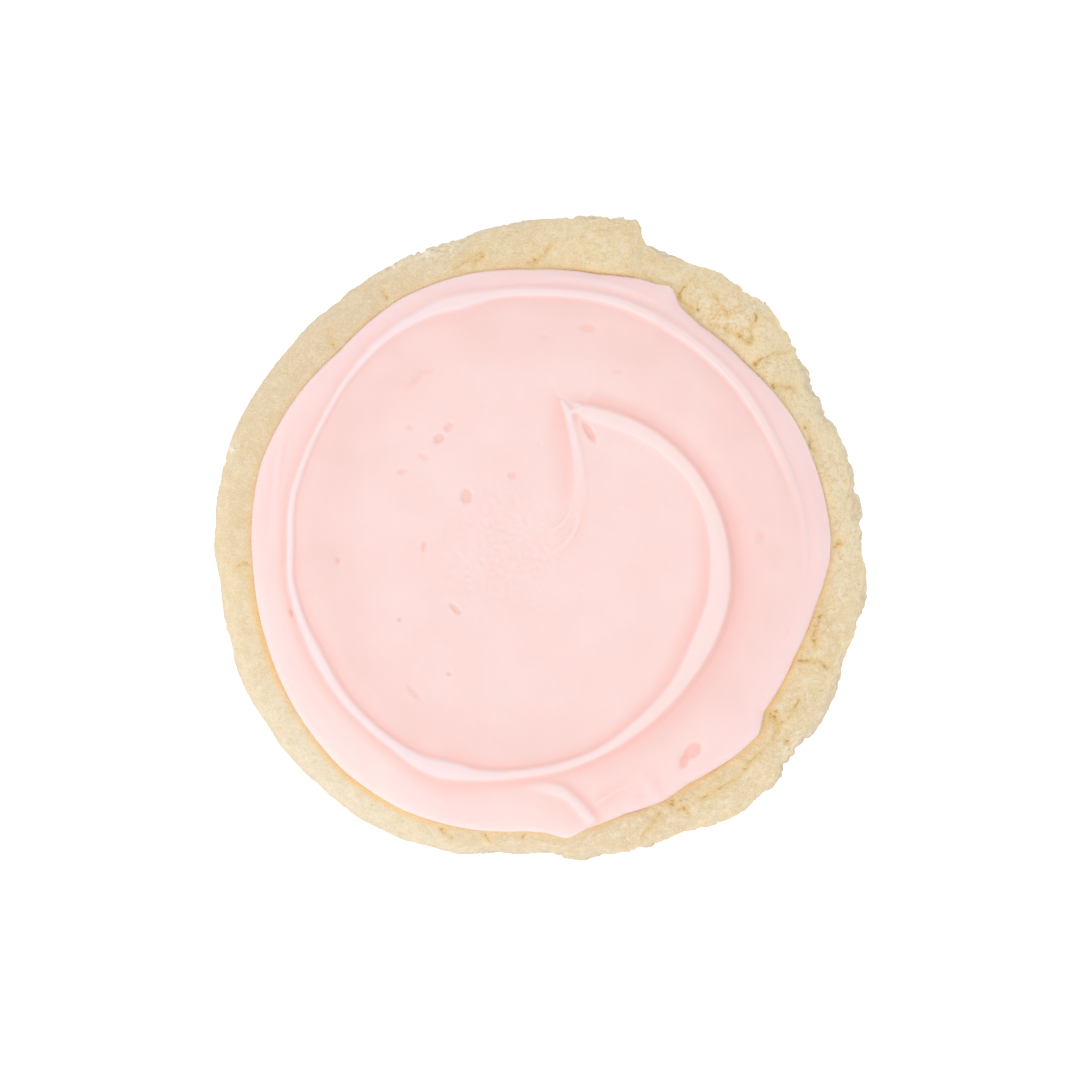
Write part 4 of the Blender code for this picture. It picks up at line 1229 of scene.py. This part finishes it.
lift = values_of(icing, "lift")
hollow = values_of(icing, "hollow")
on_top = ease((z - EDGE_WIDEST) / (EDGE_HEIGHT - EDGE_WIDEST))
inset = edge - np.hypot(x, y)
dents = sum(pit(x, y, *sizes) for sizes in PITS) + bubble_dents(x, y)
dish = DISH_DEPTH * np.clip(1 - np.hypot(x, y) ** 2 / DISH_RADIUS**2, 0, 1)
top = BAND_RISE * ease(inset / BAND_WIDTH) + lift + hollow - dents + spread_unevenness(x, y, inset) - dish
settled = z * (EDGE_HEIGHT + GAP) / EDGE_HEIGHT - np.where(z <= 0, SINK, 0)
lay(icing, x - cookie_middle[0], y - cookie_middle[1], settled + on_top * top + SEAT)

# Painted shade along the icing's outer band
cool = by_direction(BAND_SHADE, np.degrees(np.arctan2(y, x))) * np.exp(-((inset / BAND_SHADE_WIDTH) ** 2))
# Painted shade down in the shallow pits
shallow = sum(pit(x, y, *sizes) for sizes in PITS if sizes[-1] < CRISP_PITS_FROM)
# Painted shade in the valley inside the ring and down in the hollows
valley = np.exp(-(((np.hypot(x, y) - VALLEY_SHADE_AT) / VALLEY_SHADE_SPREAD) ** 2))
# Painted highlight along the lower-left band
highlight_mask = np.exp(-((from_line(x, y, smooth(BAND_HIGHLIGHT_LINE, PATH_STEPS)) / BAND_HIGHLIGHT_WIDTH) ** 2))
mark(icing, "cool", cool)
mark(icing, "dip", np.clip(SHALLOW_PIT_SHADE * shallow / PIT_DEEPEST, 0, 1))
mark(icing, "thin", np.clip(VALLEY_SHADE_LEAST + VALLEY_SHADE_MOST * valley - SHADE_BY_HOLLOW * hollow, 0, 1))
mark(icing, "pale", highlight_mask)
shade_smooth(icing)
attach(icing, "root")
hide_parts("icing")

# Camera, floor and light: seen straight from above on a white table, under a big soft light from
# the near left and plain white fill all round.
# Light, floor and the nearest depth seen are in metres
PHOTO_WIDTH_PX = 1080
PHOTO_MM_PER_PX = 105 / 652
PHOTO_MIDDLE = (540.5, 538.0)
LENS = 100.0
SENSOR = 36.0
WIDTH_SEEN = PHOTO_WIDTH_PX * PHOTO_MM_PER_PX
KEY_FROM = (-0.34, -0.40, 1.0)
KEY_SIZE = 0.8
KEY_WATTS = 4.0
FILL = 0.80
FLOOR_GLOW = 0.65
FLOOR_COLOUR = (0.72, 0.72, 0.72)
FLOOR_ROUGHNESS = 0.9
FLOOR_SIZE = 6
NEAREST_SEEN = 0.01
WHITE = (1, 1, 1, 1)
camera_data = bpy.data.cameras.new("camera")
camera_data.lens = LENS
camera_data.sensor_width = SENSOR
camera_data.clip_start = NEAREST_SEEN
camera = bpy.data.objects.new("camera", camera_data)
camera.location = (
    (PHOTO_WIDTH_PX / 2 - PHOTO_MIDDLE[0]) * PHOTO_MM_PER_PX * MM,
    (PHOTO_MIDDLE[1] - PHOTO_WIDTH_PX / 2) * PHOTO_MM_PER_PX * MM,
    (WIDTH_SEEN * LENS / SENSOR + COOKIE_WIDEST_AT) * MM,
)
bpy.context.scene.collection.objects.link(camera)
bpy.context.scene.camera = camera

bpy.ops.mesh.primitive_plane_add(size=FLOOR_SIZE)
floor = bpy.context.object
floor.name = "floor"
white, tree, shader = plain_material("white_table")
shader.inputs["Emission Color"].default_value = WHITE
shader.inputs["Emission Strength"].default_value = FLOOR_GLOW
shader.inputs["Base Color"].default_value = (*FLOOR_COLOUR, 1)
shader.inputs["Roughness"].default_value = FLOOR_ROUGHNESS
shader.inputs["Specular IOR Level"].default_value = 0
floor.data.materials.append(white)

key_data = bpy.data.lights.new("key", "AREA")
key_data.shape = "DISK"
key_data.size = KEY_SIZE
key_data.energy = KEY_WATTS
key = bpy.data.objects.new("key", key_data)
key.location = KEY_FROM
key.rotation_mode = "QUATERNION"
key.rotation_quaternion = (-Vector(KEY_FROM)).to_track_quat("-Z", "Y")
bpy.context.scene.collection.objects.link(key)
world = bpy.data.worlds.new("white_room")
world.use_nodes = True
background = world.node_tree.nodes["Background"]
background.inputs["Color"].default_value = WHITE
background.inputs["Strength"].default_value = FILL
bpy.context.scene.world = world
bpy.context.scene.view_settings.view_transform = "Standard"
